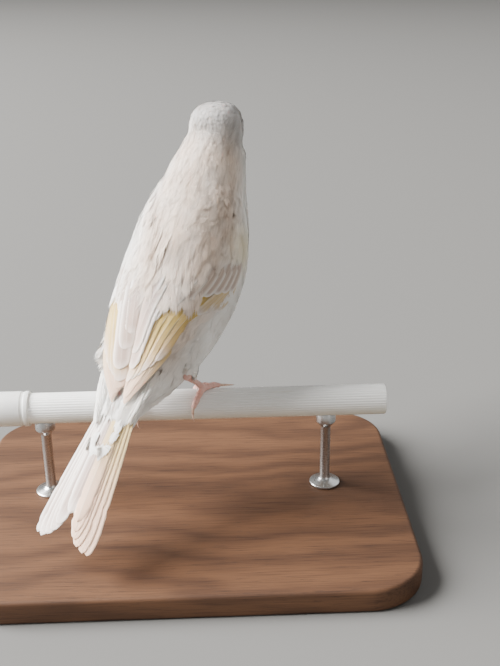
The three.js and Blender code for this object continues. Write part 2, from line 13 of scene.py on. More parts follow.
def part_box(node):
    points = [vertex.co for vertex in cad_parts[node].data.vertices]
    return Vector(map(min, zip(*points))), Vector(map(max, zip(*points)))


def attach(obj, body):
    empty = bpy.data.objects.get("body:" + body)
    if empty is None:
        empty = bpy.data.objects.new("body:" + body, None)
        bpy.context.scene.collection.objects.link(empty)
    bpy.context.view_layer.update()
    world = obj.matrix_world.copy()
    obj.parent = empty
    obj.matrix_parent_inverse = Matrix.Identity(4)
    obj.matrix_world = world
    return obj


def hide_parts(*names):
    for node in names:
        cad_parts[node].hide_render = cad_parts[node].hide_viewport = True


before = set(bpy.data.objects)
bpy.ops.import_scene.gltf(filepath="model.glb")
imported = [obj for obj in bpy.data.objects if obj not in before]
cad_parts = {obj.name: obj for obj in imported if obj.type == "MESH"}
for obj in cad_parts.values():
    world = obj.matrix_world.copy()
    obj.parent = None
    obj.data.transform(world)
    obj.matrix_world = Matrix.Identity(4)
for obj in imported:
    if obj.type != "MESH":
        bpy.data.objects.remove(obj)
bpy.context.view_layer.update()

MM = 0.001


# Floor, light and camera
# A plain pale floor, one big soft light from the left as by a window, and low light all round.
# The camera stands behind the bird, a little above it, and looks down on the perch.
PERCH = Vector((-4.4, 3, 35)) * MM  # the perch's axis midway between the feet
CAMERA_AT = Vector((10.6, -247.1, 161.8)) * MM
CAMERA_TURN = -2  # degrees to the right of +Y
CAMERA_PITCH = 22.7
CAMERA_ROLL = -0.7
PICTURE_HEIGHT = 666
FOCAL = 950  # the lens, in pixels of the picture
FLOOR_COLOUR = (0.15, 0.148, 0.142, 1)


def add_light(name, at, aim, size, power, colour):
    bpy.ops.object.light_add(type="AREA", location=at)
    lamp = bpy.context.object
    lamp.name = name
    lamp.data.shape = "DISK"
    lamp.data.size = size
    lamp.data.energy = power
    lamp.data.color = colour
    lamp.rotation_euler = (Vector(aim) - Vector(at)).to_track_quat("-Z", "Y").to_euler()


bpy.ops.object.select_all(action="DESELECT")
bpy.ops.mesh.primitive_plane_add(size=12, location=(0, 0, 0))
floor = bpy.context.object
floor.name = "floor"
floor_finish = bpy.data.materials.new("pale_floor")
floor_finish.use_nodes = True
floor_shader = floor_finish.node_tree.nodes["Principled BSDF"]
floor_shader.inputs["Base Color"].default_value = FLOOR_COLOUR
floor_shader.inputs["Roughness"].default_value = 0.85
floor.data.materials.append(floor_finish)

world = bpy.data.worlds.new("studio")
world.use_nodes = True
world.node_tree.nodes["Background"].inputs["Color"].default_value = (1, 0.97, 0.93, 1)
world.node_tree.nodes["Background"].inputs["Strength"].default_value = 0.29
bpy.context.scene.world = world
add_light("window", (-2.5, 0.1, 1.6), PERCH + Vector((0, 0, 0.04)), 2.4, 600, (1, 0.99, 0.975))
add_light("near_fill", (1.1, -1.6, 0.5), PERCH, 1.2, 7, (1, 0.96, 0.9))
add_light("back_fill", (1.5, 1.2, 1.5), PERCH, 2.1, 11, (0.95, 0.97, 1))

turn, pitch, roll = (math.radians(a) for a in (CAMERA_TURN, CAMERA_PITCH, CAMERA_ROLL))
ahead = Vector((-math.sin(turn), math.cos(turn), 0)) * math.cos(pitch) + Vector((0, 0, -math.sin(pitch)))
rightward = Vector((math.cos(turn), math.sin(turn), 0))
upward = rightward.cross(ahead)
camera_right = rightward * math.cos(roll) + upward * math.sin(roll)
camera_up = upward * math.cos(roll) - rightward * math.sin(roll)
camera_data = bpy.data.cameras.new("camera")
camera = bpy.data.objects.new("camera", camera_data)
bpy.context.scene.collection.objects.link(camera)
camera_data.sensor_width = 36
camera_data.lens = FOCAL / PICTURE_HEIGHT * camera_data.sensor_width
camera_data.clip_start = 0.01
axes = Matrix((camera_right, camera_up, -ahead)).transposed()
camera.matrix_world = Matrix.Translation(CAMERA_AT) @ axes.to_4x4()
bpy.context.scene.camera = camera


# Skin
# The bird's skin under its feathers: head, neck and torso as one closed form, which lies inside
# the solids by the depth of the coat. The solids are fused, smoothed and drawn in.
BODY_HEADING = math.radians(32)
HEAD_HEADING = math.radians(12)


def bird(forward, left, up, heading=BODY_HEADING):
    """A point, in millimetres, forward of the perch, to the bird's left and above the perch's axis."""
    x = forward * math.sin(heading) - left * math.cos(heading)
    y = forward * math.cos(heading) + left * math.sin(heading)
    return np.array(PERCH) + np.array((x, y, up)) * MM


def on_bird(spots):
    return np.array([bird(*spot) for spot in spots])


# The middle of the bird from the bill's root over the nape and the back to the tail's root: how far
# forward, how high, and how deep the coat is there.
SPINE = [
    (40.5, 75, 0.3), (34, 76, 0.4), (29, 75, 0.5), (24.5, 66, 0.6), (17, 51, 0.8),
    (9, 37, 0.9), (-3, 25.5, 0.9), (-14, 15, 0.75), (-24, 6, 0.6), (-33, -2, 0.45),
]
spine_points = np.array([bird(forward, 0, up) for forward, up, _ in SPINE])
spine_depths = np.array([depth for _, _, depth in SPINE]) * MM
# The first two points lie in the head, which is turned less than the body.
HEAD_MIDDLE = bird(29.6, 0, 75.6)
head_axis = bird(1, 0, 0, HEAD_HEADING) - bird(0, 0, 0)
head_axis /= np.linalg.norm(head_axis)
spine_points[0] = HEAD_MIDDLE + head_axis * 10 * MM
spine_points[1] = HEAD_MIDDLE + head_axis * 4 * MM


def along_spine(points):
    """For each point the share along the spine, the nearest point on it and its direction there."""
    starts, ends = spine_points[:-1], spine_points[1:]
    steps = ends - starts
    share = np.einsum("pnk,nk->pn", points[:, None] - starts, steps) / (steps**2).sum(1)
    share = np.clip(share, 0, 1)
    near = starts + share[..., None] * steps
    distance = np.linalg.norm(points[:, None] - near, axis=2)
    # Near segments are blended, so that the lie of the feathers turns smoothly.
    weight = 1 / (distance - distance.min(1, keepdims=True) + 2.5 * MM) ** 3
    weight /= weight.sum(1, keepdims=True)
    place = (weight * (np.arange(len(steps)) + share)).sum(1)
    middle = (weight[..., None] * near).sum(1)
    direction = (weight[..., None] * (steps / np.linalg.norm(steps, axis=1)[:, None])).sum(1)
    direction /= np.linalg.norm(direction, axis=1)[:, None]
    return place, middle, direction


def mesh_arrays(data):
    spots = np.empty(len(data.vertices) * 3)
    data.vertices.foreach_get("co", spots)
    normals = np.empty(len(data.vertices) * 3)
    data.vertices.foreach_get("normal", normals)
    return spots.reshape(-1, 3), normals.reshape(-1, 3)


def move_corners(piece, spots):
    piece.data.vertices.foreach_set("co", spots.ravel())
    piece.data.update()


def triangles_of(data):
    data.calc_loop_triangles()
    corners = np.empty(len(data.loop_triangles) * 3, dtype=np.int32)
    data.loop_triangles.foreach_get("vertices", corners)
    return corners.reshape(-1, 3)


def only(*pieces):
    """Selects these pieces and nothing else. The first is the active one."""
    bpy.ops.object.select_all(action="DESELECT")
    for piece in pieces:
        piece.select_set(True)
    bpy.context.view_layer.objects.active = pieces[0]


def joined(*pieces):
    only(*pieces)
    bpy.ops.object.join()
    return pieces[0]


def apply_modifier(piece, kind, **settings):
    only(piece)
    modifier = piece.modifiers.new(kind.lower(), kind)
    for key, value in settings.items():
        setattr(modifier, key, value)
    bpy.ops.object.modifier_apply(modifier=modifier.name)


def copy_of(*nodes):
    """One new object with the meshes of these nodes, their shared corners merged."""
    doubles = []
    for node in nodes:
        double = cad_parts[node].copy()
        double.data = double.data.copy()
        double.parent = None
        for key in list(double.keys()):
            del double[key]
        bpy.context.scene.collection.objects.link(double)
        doubles.append(double)
    made = joined(*reversed(doubles))
    shape = bmesh.new()
    shape.from_mesh(made.data)
    bmesh.ops.remove_doubles(shape, verts=shape.verts, dist=1e-6)
    shape.to_mesh(made.data)
    shape.free()
    return made


CLOSE_GAPS = 1.1 * MM  # creases are filled to this radius
SKIN_STEPS = 4
skin = copy_of("head", "neck", "torso", "eye_left", "eye_right", "bill_upper", "bill_lower")
skin.name = "skin"
apply_modifier(skin, "DISPLACE", strength=CLOSE_GAPS, mid_level=0)
apply_modifier(skin, "REMESH", mode="VOXEL", voxel_size=0.6 * MM)
apply_modifier(skin, "SMOOTH", factor=0.6, iterations=10)
spots, normals = mesh_arrays(skin.data)
form_spots = spots - normals * CLOSE_GAPS  # the outside of the coat
skin_triangles = triangles_of(skin.data)
place, _, _ = along_spine(spots)
depth = np.interp(place, np.arange(len(spine_depths)), spine_depths)
for _ in range(SKIN_STEPS):
    spots, normals = mesh_arrays(skin.data)
    move_corners(skin, spots - normals * ((depth + CLOSE_GAPS) / SKIN_STEPS)[:, None])
    apply_modifier(skin, "SMOOTH", factor=0.5, iterations=1)
skin_spots, _ = mesh_arrays(skin.data)
# Under the left wing the flank's loose feathers have no flesh: the solid's tuft is drawn back to
# its root in small steps.
FLANK_TUFT = [(-1, 10, 27), (-9, 11.6, 22.4), (-15, 12.8, 19.8), (-18.6, 12.8, 17.8)]
TUFT_FLESH = 4.4 * MM
TUFT_STEP = 0.05


def on_tuft(share):
    """A point on the tuft's middle line, at a share of it."""
    return np.array([np.interp(share * 3, range(4), values) for values in on_bird(FLANK_TUFT).T])


for share in np.linspace(1, 0.15, 18):
    close = np.linalg.norm(skin_spots - on_tuft(share), axis=1) < TUFT_FLESH
    skin_spots[close] += on_tuft(share - TUFT_STEP) - on_tuft(share)
move_corners(skin, skin_spots)
skin.data.shade_smooth()


# Plumage
# Small feathers cover the skin from the bill to the tail, each a thin vane with loose barbs over
# it. They are white on the breast and flanks and pinkish beige with fine streaks on the back.
class Value:
    """A shader socket that Python's operators work on: each adds its Math node."""

    def __init__(self, finish, socket):
        self.finish = finish
        self.socket = socket

    def math(self, operation, first, second=0):
        return self.finish.node("ShaderNodeMath", {"operation": operation}, {0: first, 1: second})

    def __add__(self, other):
        return self.math("ADD", self, other)

    def __radd__(self, other):
        return self.math("ADD", other, self)

    def __sub__(self, other):
        return self.math("SUBTRACT", self, other)

    def __rsub__(self, other):
        return self.math("SUBTRACT", other, self)

    def __mul__(self, other):
        return self.math("MULTIPLY", self, other)

    def __rmul__(self, other):
        return self.math("MULTIPLY", other, self)

    def __abs__(self):
        return self.math("ABSOLUTE", self)

    def sine(self):
        return self.math("SINE", self)


class Finish:
    """A material in the making. Every node comes from its one method."""

    def __init__(self, name, constants):
        self.material = bpy.data.materials.new(name)
        self.material.use_nodes = True
        self.tree = self.material.node_tree
        self.shader = self.tree.nodes["Principled BSDF"]
        for key, value in constants.items():
            self.shader.inputs[key].default_value = value

    def node(self, kind, settings=None, sockets=None, output=0):
        made = self.tree.nodes.new(kind)
        for key, value in (settings or {}).items():
            setattr(made, key, value)
        for key, value in (sockets or {}).items():
            if isinstance(value, Value):
                self.tree.links.new(value.socket, made.inputs[key])
            else:
                made.inputs[key].default_value = value
        return Value(self, made.outputs[output])

    def place(self):
        return self.node("ShaderNodeTexCoord", output="Object")

    def measure(self, operation, first, second, output="Value"):
        sockets = {0: first, 1: tuple(second)}
        return self.node("ShaderNodeVectorMath", {"operation": operation}, sockets, output)

    def along(self, direction, start=(0, 0, 0)):
        """How far a point lies along a direction from the start, in millimetres."""
        moved = self.measure("SUBTRACT", self.place(), start, "Vector")
        return self.measure("DOT_PRODUCT", moved, np.array(direction) / MM)

    def axes(self, start=(0, 0, 0)):
        """A point's x, y and z from the start, in millimetres."""
        return (self.along(axis, start) for axis in ((1, 0, 0), (0, 1, 0), (0, 0, 1)))

    def near(self, spot, radius):
        """1 at a spot, falling smoothly to 0 at the radius from it in millimetres."""
        return self.step(self.measure("DISTANCE", self.place(), spot), radius * MM, 0)

    def step(self, value, low, high):
        """0 below low, 1 above high, and smooth between."""
        return self.node(
            "ShaderNodeMapRange",
            {"interpolation_type": "SMOOTHSTEP"},
            {"Value": value, "From Min": low, "From Max": high},
        )

    def mix(self, share, first, second):
        return self.node("ShaderNodeMix", {"data_type": "RGBA"}, {0: share, 6: first, 7: second}, 2)

    def noise(self, vector, scale=1.0, detail=2):
        return self.node("ShaderNodeTexNoise", None, {"Vector": vector, "Scale": scale, "Detail": detail})

    def vector(self, x, y, z):
        return self.node("ShaderNodeCombineXYZ", None, {0: x, 1: y, 2: z})

    def attribute(self, name):
        return self.node("ShaderNodeAttribute", {"attribute_name": name}, output="Fac")

    def on_vane(self):
        """A point's place on its feather: across from -1 to 1, and along from 0 to 1."""
        vane = self.node("ShaderNodeUVMap", {"uv_map": "vane"})
        across, along = (self.node("ShaderNodeSeparateXYZ", None, {0: vane}, axis) for axis in range(2))
        return across * 2 - 1, along

    def feed(self, socket, value):
        self.tree.links.new(value.socket, self.shader.inputs[socket])

    def bump(self, height, distance, strength=1.0):
        sockets = {"Height": height, "Distance": distance, "Strength": strength}
        self.feed("Normal", self.node("ShaderNodeBump", None, sockets))


def srgb(*levels):
    """A colour given as the 0 to 255 levels of a picture, as linear light."""
    shares = [level / 255 for level in levels]
    return tuple(c / 12.92 if c < 0.04045 else ((c + 0.055) / 1.055) ** 2.4 for c in shares) + (1,)


WHITE = srgb(247, 246, 243)
SHADED_WHITE = srgb(232, 228, 221)
MANTLE = srgb(231, 213, 196)
MANTLE_STREAK = srgb(166, 142, 124)
# The crown's greys are partly the head's own colour and partly painted shade: they are darkened to stand for
# shade on the top of the head.
CROWN = srgb(168, 165, 164)
CROWN_STREAK = srgb(128, 121, 118)
YELLOW = srgb(232, 214, 150)
BARB_GLOSS = {"Roughness": 0.7, "Sheen Weight": 0.15, "Specular IOR Level": 0.3}
TRUNK_FORWARD, TRUNK_UP = 0.604, 0.797  # the trunk stands at 53 degrees
forward_way = (bird(1, 0, 0) - bird(0, 0, 0)) / MM
left_way = (bird(0, 1, 0) - bird(0, 0, 0)) / MM
up_way = np.array((0, 0, 1))


def soften(finish, weight=0.3, spread=1.2, colour=(1, 0.85, 0.75)):
    """Lets light spread this many millimetres through a piece, so that it shades softly."""
    finish.shader.subsurface_method = "BURLEY"
    finish.shader.inputs["Subsurface Weight"].default_value = weight
    finish.shader.inputs["Subsurface Radius"].default_value = colour
    finish.shader.inputs["Subsurface Scale"].default_value = spread * MM


def dress(piece, finish, slot, *nodes):
    """Gives a piece its finish, hangs it from the body that carries it, and hides the nodes that it stands
    for. The slot is not used.
    """
    piece.data.materials.clear()
    piece.data.materials.append(finish.material)
    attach(piece, "root")
    if nodes:
        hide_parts(*nodes)


def markings(finish, tone):
    """The colour of the small feathers by their place on the bird, for skin and coat alike.
    Tone runs from 0, the pale parts of the feathers, to 1, the dark ones."""
    forward, left, up = (finish.along(way, PERCH) for way in (forward_way, left_way, up_way))
    trunk = forward * TRUNK_FORWARD + up * TRUNK_UP  # along the trunk towards the head
    back = up * TRUNK_FORWARD - forward * TRUNK_UP  # over the trunk towards the back
    head = finish.step(trunk, 68, 78)
    # The beige ends a little left of the middle, so the left side of the back, where the window's light
    # falls, stays white: painted light. The beige on the rest of the back is its own colour.
    on_back = finish.step(back, 14, 24) * finish.step(left, 13, 3) * (1 - head * 0.1)
    on_back = on_back * finish.step(trunk, -2, 14)
    strands = finish.noise(finish.vector(left * 0.8, back * 0.8, trunk * 0.13), detail=3)
    blotches = finish.noise(finish.vector(left * 0.2, back * 0.2, trunk * 0.1), detail=1)
    streaked = finish.step(strands, 0.46, 0.7) * 0.55 + tone * 0.55
    dark = finish.mix(head, MANTLE_STREAK, CROWN_STREAK)
    ground = finish.mix(tone * (0.3 + blotches * 0.5), WHITE, SHADED_WHITE)
    mantle = finish.mix(streaked, finish.mix(head, MANTLE, CROWN), dark)
    colour = finish.mix(on_back * (0.5 + blotches * 0.7), ground, mantle)
    bend = finish.near(bird(17, -16, 45), 11)
    return finish.mix(bend * 0.45, colour, YELLOW)


skin_finish = Finish("skin", BARB_GLOSS)
soften(skin_finish)
skin_finish.feed("Base Color", markings(skin_finish, 0.6))
dress(skin, skin_finish, "plumage", "head", "neck", "torso")

# A small feather is darker in its middle than at its edges and its tip.
coat_finish = Finish("feathers", BARB_GLOSS)
soften(coat_finish)
across, length = coat_finish.on_vane()
middle = coat_finish.step(abs(across), 0.75, 0.15) * coat_finish.step(length, 1.0, 0.7)
coat_finish.feed("Base Color", markings(coat_finish, coat_finish.attribute("tone") * 0.75 + middle * 0.35))
CAMBER = 0.12  # how far a small feather's edges lie below its middle, in half widths


def plume(draw, blades, vane_rows=4, reach=0.8, fray=0.14):
    """One small feather of unit size: corners (across, along, height), a tone for each, and
    faces. It has a vane in the middle and pointed blades of barbs over its outer half."""
    corners = []
    tones = []
    faces = []
    outline = np.interp(np.linspace(0, 1, vane_rows + 1), [0, 0.3, 0.6, 0.85, 1], [0.4, 0.85, 1, 0.8, 0.35])
    for row, half in enumerate(outline):
        along = reach * row / vane_rows
        corners += [(-half, along, -CAMBER * half), (0, along, 0), (half, along, -CAMBER * half)]
        tones += [0.55, 0.7, 0.55]
    for row in range(vane_rows):
        for column in range(2):
            first = row * 3 + column
            faces.append((first, first + 1, first + 4, first + 3))
    for blade in range(blades):
        side = (blade + 0.5) / blades * 2 - 1
        side += draw.uniform(-0.5, 0.5) / blades
        start = draw.uniform(0.1, 0.5)
        end = 1 - 0.3 * abs(side) ** 2.2 - draw.uniform(0, fray)
        width = draw.uniform(1.0, 1.6) / blades
        height = draw.uniform(0.02, 0.1)
        splay = side * draw.uniform(0.02, 0.2)
        tone = draw.uniform(0, 1) ** 1.5
        first = len(corners)
        for share, breadth in ((0, 0.5), (0.5, 1), (0.85, 0.6), (1, 0)):
            middle = side * 0.88 + splay * share**1.5
            along = start + (end - start) * share
            over = height * (1 - 0.4 * share) - CAMBER * middle**2
            if breadth:
                corners += [(middle - width * breadth, along, over), (middle + width * breadth, along, over)]
                tones += [tone, tone]
            else:
                corners.append((middle, along, over))
                tones.append(tone * 0.6)
        faces += [(first, first + 1, first + 3, first + 2), (first + 2, first + 3, first + 5, first + 4)]
        faces.append((first + 4, first + 5, first + 6))
    return np.array(corners), np.array(tones), faces


def build_mesh(name, spots, faces, vane_map, bake_map, **attributes):
    """A mesh of many feathers from arrays, with its maps and its values by corner."""
    data = bpy.data.meshes.new(name)
    sizes = np.array([len(face) for face in faces])
    loops = np.concatenate([np.array(face) for face in faces])
    data.vertices.add(len(spots))
    data.vertices.foreach_set("co", np.ascontiguousarray(spots, dtype=np.float32).ravel())
    data.loops.add(len(loops))
    data.loops.foreach_set("vertex_index", loops.astype(np.int32))
    data.polygons.add(len(sizes))
    data.polygons.foreach_set("loop_start", (np.cumsum(sizes) - sizes).astype(np.int32))
    data.update(calc_edges=True)
    for title, values in (("OFBake", bake_map), ("vane", vane_map)):
        layer = data.uv_layers.new(name=title)
        layer.data.foreach_set("uv", values[loops].astype(np.float32).ravel())
    for title, values in attributes.items():
        data.attributes.new(title, "FLOAT", "POINT").data.foreach_set("value", values.astype(np.float32))
    data.shade_smooth()
    piece = bpy.data.objects.new(name, data)
    bpy.context.scene.collection.objects.link(piece)
    return piece


def unit(vectors):
    return vectors / np.maximum(np.linalg.norm(vectors, axis=-1, keepdims=True), 1e-12)


# Wing and tail cores
# Under the long feathers each wing has a thin closed plate, and the tail a short one, which fill
# it so that no light shows between the vanes. The feathers beside them lie over their edges.
# The outer face of a folded wing runs from the bend to the tip through three lines: along the
# back, over the middle and along the flank. Points are forward, left and up, in millimetres.
WING_LINES = {
    "back": [
        (15.1, 11.2, 61.9), (4.2, 7, 56.2), (-4.5, 0, 46.8),
        (-12.2, -0.9, 34.5), (-17.4, -1.5, 22.4), (-24.2, -1.4, 11.9),
    ],
    "middle": [
        (18, 12.7, 60.3), (10.1, 14.4, 52), (0.4, 13.2, 43),
        (-10.8, 9, 34.3), (-19.6, 5.4, 21), (-24.6, 1.4, 11.3),
    ],
    "flank": [
        (20.5, 13.7, 57.3), (17.8, 16.2, 44.9), (8.3, 17.1, 34.7),
        (-5.9, 14.6, 28.6), (-18.1, 9.4, 19.4), (-24.8, 2.2, 11),
    ],
}
TAIL_ROOT = (-15, 17.2)  # forward and up
TAIL_SLOPE = math.radians(45)
CORE_SUNK = 0.75 * MM  # the cores' outer faces below the vanes


def through(points, share):
    """The smooth line through points at each share of its length, from 0 to 1."""
    points = np.array(points)
    points = np.concatenate([[2 * points[0] - points[1]], points, [2 * points[-1] - points[-2]]])
    at = np.clip(share, 0, 1) * (len(points) - 3)
    first = np.minimum(at.astype(int), len(points) - 4)
    t = (at - first)[..., None]
    a, b, c, d = (points[first + k] for k in range(4))
    return 0.5 * (2 * b + (c - a) * t + (2 * a - 5 * b + 4 * c - d) * t**2 + (3 * b - a - 3 * c + d) * t**3)


def bridge(start, middle, end, share):
    """The curve from start to end that passes the middle half way."""
    handle = 2 * middle - (start + end) / 2
    return (1 - share) ** 2 * start + 2 * share * (1 - share) * handle + share**2 * end


class Wing:
    """The outer face of a folded wing: p runs from the bend to the tip, q from back to flank."""

    def __init__(self, mirror):
        self.mirror = mirror
        self.lines = [on_bird(np.array(line) * (1, mirror, 1)) for line in WING_LINES.values()]

    def point(self, p, q):
        p, q = np.broadcast_arrays(np.asarray(p, float), np.asarray(q, float))
        return bridge(*(through(line, p) for line in self.lines), q[..., None])

    def out(self, p, q):
        step = 0.02
        along = self.point(np.minimum(p + step, 1), q) - self.point(np.maximum(p - step, 0), q)
        across = self.point(p, np.minimum(q + step, 1)) - self.point(p, np.maximum(q - step, 0))
        return unit(np.cross(along, across)) * -self.mirror

    def wide(self, p):
        return np.linalg.norm(self.point(p, 1.0) - self.point(p, 0.0), axis=-1)


tail_along = bird(-math.cos(TAIL_SLOPE), 0, -math.sin(TAIL_SLOPE)) - bird(0, 0, 0)
tail_out = bird(-math.sin(TAIL_SLOPE), 0, math.cos(TAIL_SLOPE)) - bird(0, 0, 0)


def tail_point(distance, left, height):
    """A point by its distance along the tail and to the left, and its height over it, in millimetres."""
    arch = np.asarray(height) - 0.012 * np.asarray(left) ** 2
    flat = bird(TAIL_ROOT[0], 0, TAIL_ROOT[1]) + np.multiply.outer(distance, tail_along)
    return flat + np.multiply.outer(left, left_way * MM) + np.multiply.outer(arch, tail_out)


def sheet_of(grid):
    """Corners and faces of a sheet through a grid of points."""
    rows, columns = grid.shape[:2]
    starts = [i * columns + j for i in range(rows - 1) for j in range(columns - 1)]
    return grid.reshape(-1, 3), [(a, a + 1, a + columns + 1, a + columns) for a in starts]


def closed_plate(outer, inner):
    """Corners and faces of a plate between two grids of points of the same size."""
    rows, columns = outer.shape[:2]
    corners, over = sheet_of(outer)
    under = len(corners)
    rim = list(range(columns - 1))
    rim += [i * columns + columns - 1 for i in range(rows - 1)]
    rim += [(rows - 1) * columns + j for j in range(columns - 1, 0, -1)]
    rim += [i * columns for i in range(rows - 1, 0, -1)]
    below = [tuple(under + k for k in reversed(face)) for face in over]
    beside = [(b, a, under + a, under + b) for a, b in zip(rim, rim[1:] + rim[:1])]
    return np.concatenate([corners, inner.reshape(-1, 3)]), over + below + beside


def merged(meshes):
    """Several meshes as one, each given as its corners and faces."""
    corners, faces, first = [], [], 0
    for spots, sides in meshes:
        corners.append(spots)
        faces += [tuple(int(k) + first for k in side) for side in sides]
        first += len(spots)
    return np.concatenate(corners), faces


def tree_of(sheets):
    corners, faces = merged(sheets)
    return BVHTree.FromPolygons([Vector(spot) for spot in corners], faces)


def lattice(from_row, to_row, rows, from_column, to_column, columns):
    """Two arrays, which hold the row's and the column's value at each point of a grid."""
    values = np.linspace(from_row, to_row, rows), np.linspace(from_column, to_column, columns)
    return np.meshgrid(*values, indexing="ij")


WINGS = {"left": Wing(1), "right": Wing(-1)}
cores = {}
for side, wing in WINGS.items():
    share, across = lattice(0, 0.93, 26, 0, 1, 13)
    inset = 0.02 + 0.1 * np.maximum(share - 0.6, 0)
    q = inset + (1 - 2 * inset) * across
    out = wing.out(share, q)
    crown = np.sin(math.pi * across)[..., None]
    outer = wing.point(share, q) - out * (CORE_SUNK + 0.5 * MM * (1 - crown))
    inner = outer - out * (0.6 + 2.4 * np.sqrt(crown)) * MM * (1 - 0.7 * share[..., None] ** 2)
    cores[f"wing_{side}"] = closed_plate(outer, inner)
distance, left = lattice(-6, 30, 13, -3.4, 3.4, 7)
cores["tail"] = closed_plate(*(tail_point(distance, left, height + 0 * left) for height in (0.3, -0.1)))

# Between the wings the mantle bridges over from one wing's back edge to the other's.
form = (form_spots, skin_triangles)
form_tree = tree_of([form])
back_way = (bird(-TRUNK_UP, 0, TRUNK_FORWARD) - bird(0, 0, 0)) / MM
SIGHT = 12 * MM
share, across = lattice(0, 0.4, 14, 0, 1, 13)
ends = [wing.point(share[:, 0], 0.0) for wing in WINGS.values()]
ridge = np.array([
    form_tree.ray_cast(Vector(middle + back_way * SIGHT), Vector(-back_way))[0] for middle in sum(ends) / 2
])
mantle = sheet_of(bridge(*(line[:, None] for line in (ends[0], ridge, ends[1])), across[..., None]))


def raise_skin(tree, ways, reach, depth):
    """Raises the skin these ways to this depth under a sheet that lies within reach."""
    for index, (spot, way) in enumerate(zip(skin_spots, ways)):
        _, _, _, away = tree.ray_cast(Vector(spot), Vector(way), reach)
        if away is not None and away > depth:
            skin_spots[index] += way * (away - depth)
    move_corners(skin, skin_spots)
    return mesh_arrays(skin.data)


# Under the mantle and the wings the skin is raised, so that no dark gap opens beside their edges.
ways = np.tile(back_way, (len(skin_spots), 1))
skin_spots, skin_normals = raise_skin(tree_of([mantle]), ways, reach=6 * MM, depth=1 * MM)
share, across = lattice(0, 0.95, 24, 0, 1, 9)
fore_wings = tree_of([sheet_of(wing.point(share * 0.6, across)) for wing in WINGS.values()])
skin_spots, skin_normals = raise_skin(fore_wings, skin_normals, reach=4.5 * MM, depth=1.5 * MM)

# The small feathers' tips lie on the outside of the coat, of the wings and of the tail's root.
core_tree = tree_of(cores.values())
wing_sheets = [sheet_of(wing.point(share, across)) for wing in WINGS.values()]
distance, left = lattice(-6, 34, 9, -5, 5, 7)
tail_sheet = sheet_of(tail_point(distance, left, 1.3 + 0 * left))
cover_tree = tree_of([form, mantle, *wing_sheets, tail_sheet])
rear_tree = tree_of([form, tail_sheet])


# Coat
# The small feathers are set as on the bird: tiny on the face, longer towards the tail, lying back
# along the body and down the thighs. Their tips lie on the outside of the solids.
def scattered(draw, spacing_at, densest):
    """Roots on the skin in even disorder: points and normals, no two nearer than the spacing."""
    a, b, c = (skin_spots[skin_triangles[:, k]] for k in range(3))
    areas = np.linalg.norm(np.cross(b - a, c - a), axis=1) / 2
    count = int(areas.sum() / densest**2 * 4)
    chosen = draw.choice(len(areas), count, p=areas / areas.sum())
    u, v = draw.random((2, count, 1))
    flip = u + v > 1
    u, v = np.where(flip, 1 - u, u), np.where(flip, 1 - v, v)
    points = a[chosen] + u * (b - a)[chosen] + v * (c - a)[chosen]
    corners = skin_normals[skin_triangles[chosen]]
    normals = unit(corners[:, 0] * (1 - u - v) + corners[:, 1] * u + corners[:, 2] * v)
    spacing = spacing_at(points)
    keep = draw.random(count) < (densest / spacing) ** 1.5
    points, normals, spacing = points[keep], normals[keep], spacing[keep]
    tree = KDTree(len(points))
    for index, point in enumerate(points):
        tree.insert(point, index)
    tree.balance()
    free = np.ones(len(points), bool)
    taken = []
    for index in range(len(points)):
        if free[index]:
            taken.append(index)
            for _, near, _ in tree.find_range(points[index], spacing[index]):
                free[near] = False
    return points[taken], normals[taken]


# Sizes at each point of the spine: length, half width and spacing of the feathers there.
PLUMES = [
    (1.3, 0.26, 0.31), (2.6, 0.4, 0.42), (4.0, 0.6, 0.61), (5.6, 0.85, 0.83), (7.6, 1.15, 1.06),
    (9.2, 1.45, 1.27), (9.4, 1.55, 1.36), (9.0, 1.45, 1.27), (7.0, 1.15, 1.06), (5.0, 0.85, 0.85),
]
plume_sizes = np.array(PLUMES) * MM
# The thighs, from knee to heel.
THIGHS = {
    "right": [(5, -8.5, 27), (-8.6, -12.2, 15.4)],
    "left": [(4, 8.5, 28), (-9.5, 10.6, 16.5)],
}
THIGH_RADIUS = 4.6 * MM


def size_at(place, column):
    return np.interp(place, np.arange(len(plume_sizes)), plume_sizes[:, column])


def near_thighs(points):
    """How much each point belongs to a thigh, and the way the feathers lie there."""
    share = np.zeros(len(points))
    way = np.zeros((len(points), 3))
    for start, end in map(on_bird, THIGHS.values()):
        axis = end - start
        t = (points - start) @ axis / (axis @ axis)
        off = np.linalg.norm(points - start - np.clip(t, 0, 1.1)[:, None] * axis, axis=1)
        belongs = np.clip((THIGH_RADIUS - off) / (1.6 * MM), 0, 1) * np.clip((t - 0.35) / 0.3, 0, 1)
        share = np.maximum(share, belongs)
        way += belongs[:, None] * unit(axis)
    return share, way


eyes = [np.mean(np.array(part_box(eye)), axis=0) for eye in ("eye_left", "eye_right")]


def by_eye(points, near, far):
    """How near the closer eye is, 1 to 0 between two distances, and the way out from it."""
    aways = np.stack([points - eye for eye in eyes])
    distances = np.linalg.norm(aways, axis=2)
    closer = distances.argmin(0)
    distance = distances.min(0)
    return np.clip((far - distance) / (far - near), 0, 1), unit(aways[closer, np.arange(len(points))])


def lie_of(points, normals):
    """The way the small feathers lie: back along the body, out from the bill, down the thighs,
    and parted round the eyes."""
    place, _, direction = along_spine(points)
    bill_root = HEAD_MIDDLE + head_axis * 10 * MM - up_way * 0.9 * MM
    from_bill = unit(points - bill_root)
    face = np.clip((2.2 - place) / 1.6, 0, 1)[:, None]
    way = direction * (1 - face) + from_bill * face
    share, down = near_thighs(points)
    way = way * (1 - share[:, None]) + down
    way = unit(way - normals * (way * normals).sum(1)[:, None])
    beside, outwards = by_eye(points, 3.6 * MM, 5.6 * MM)
    outwards = unit(outwards - normals * (outwards * normals).sum(1)[:, None])
    inwards = np.minimum((way * outwards).sum(1), 0.15)
    way -= outwards * ((inwards - 0.15) * beside)[:, None]
    return unit(way), place, share


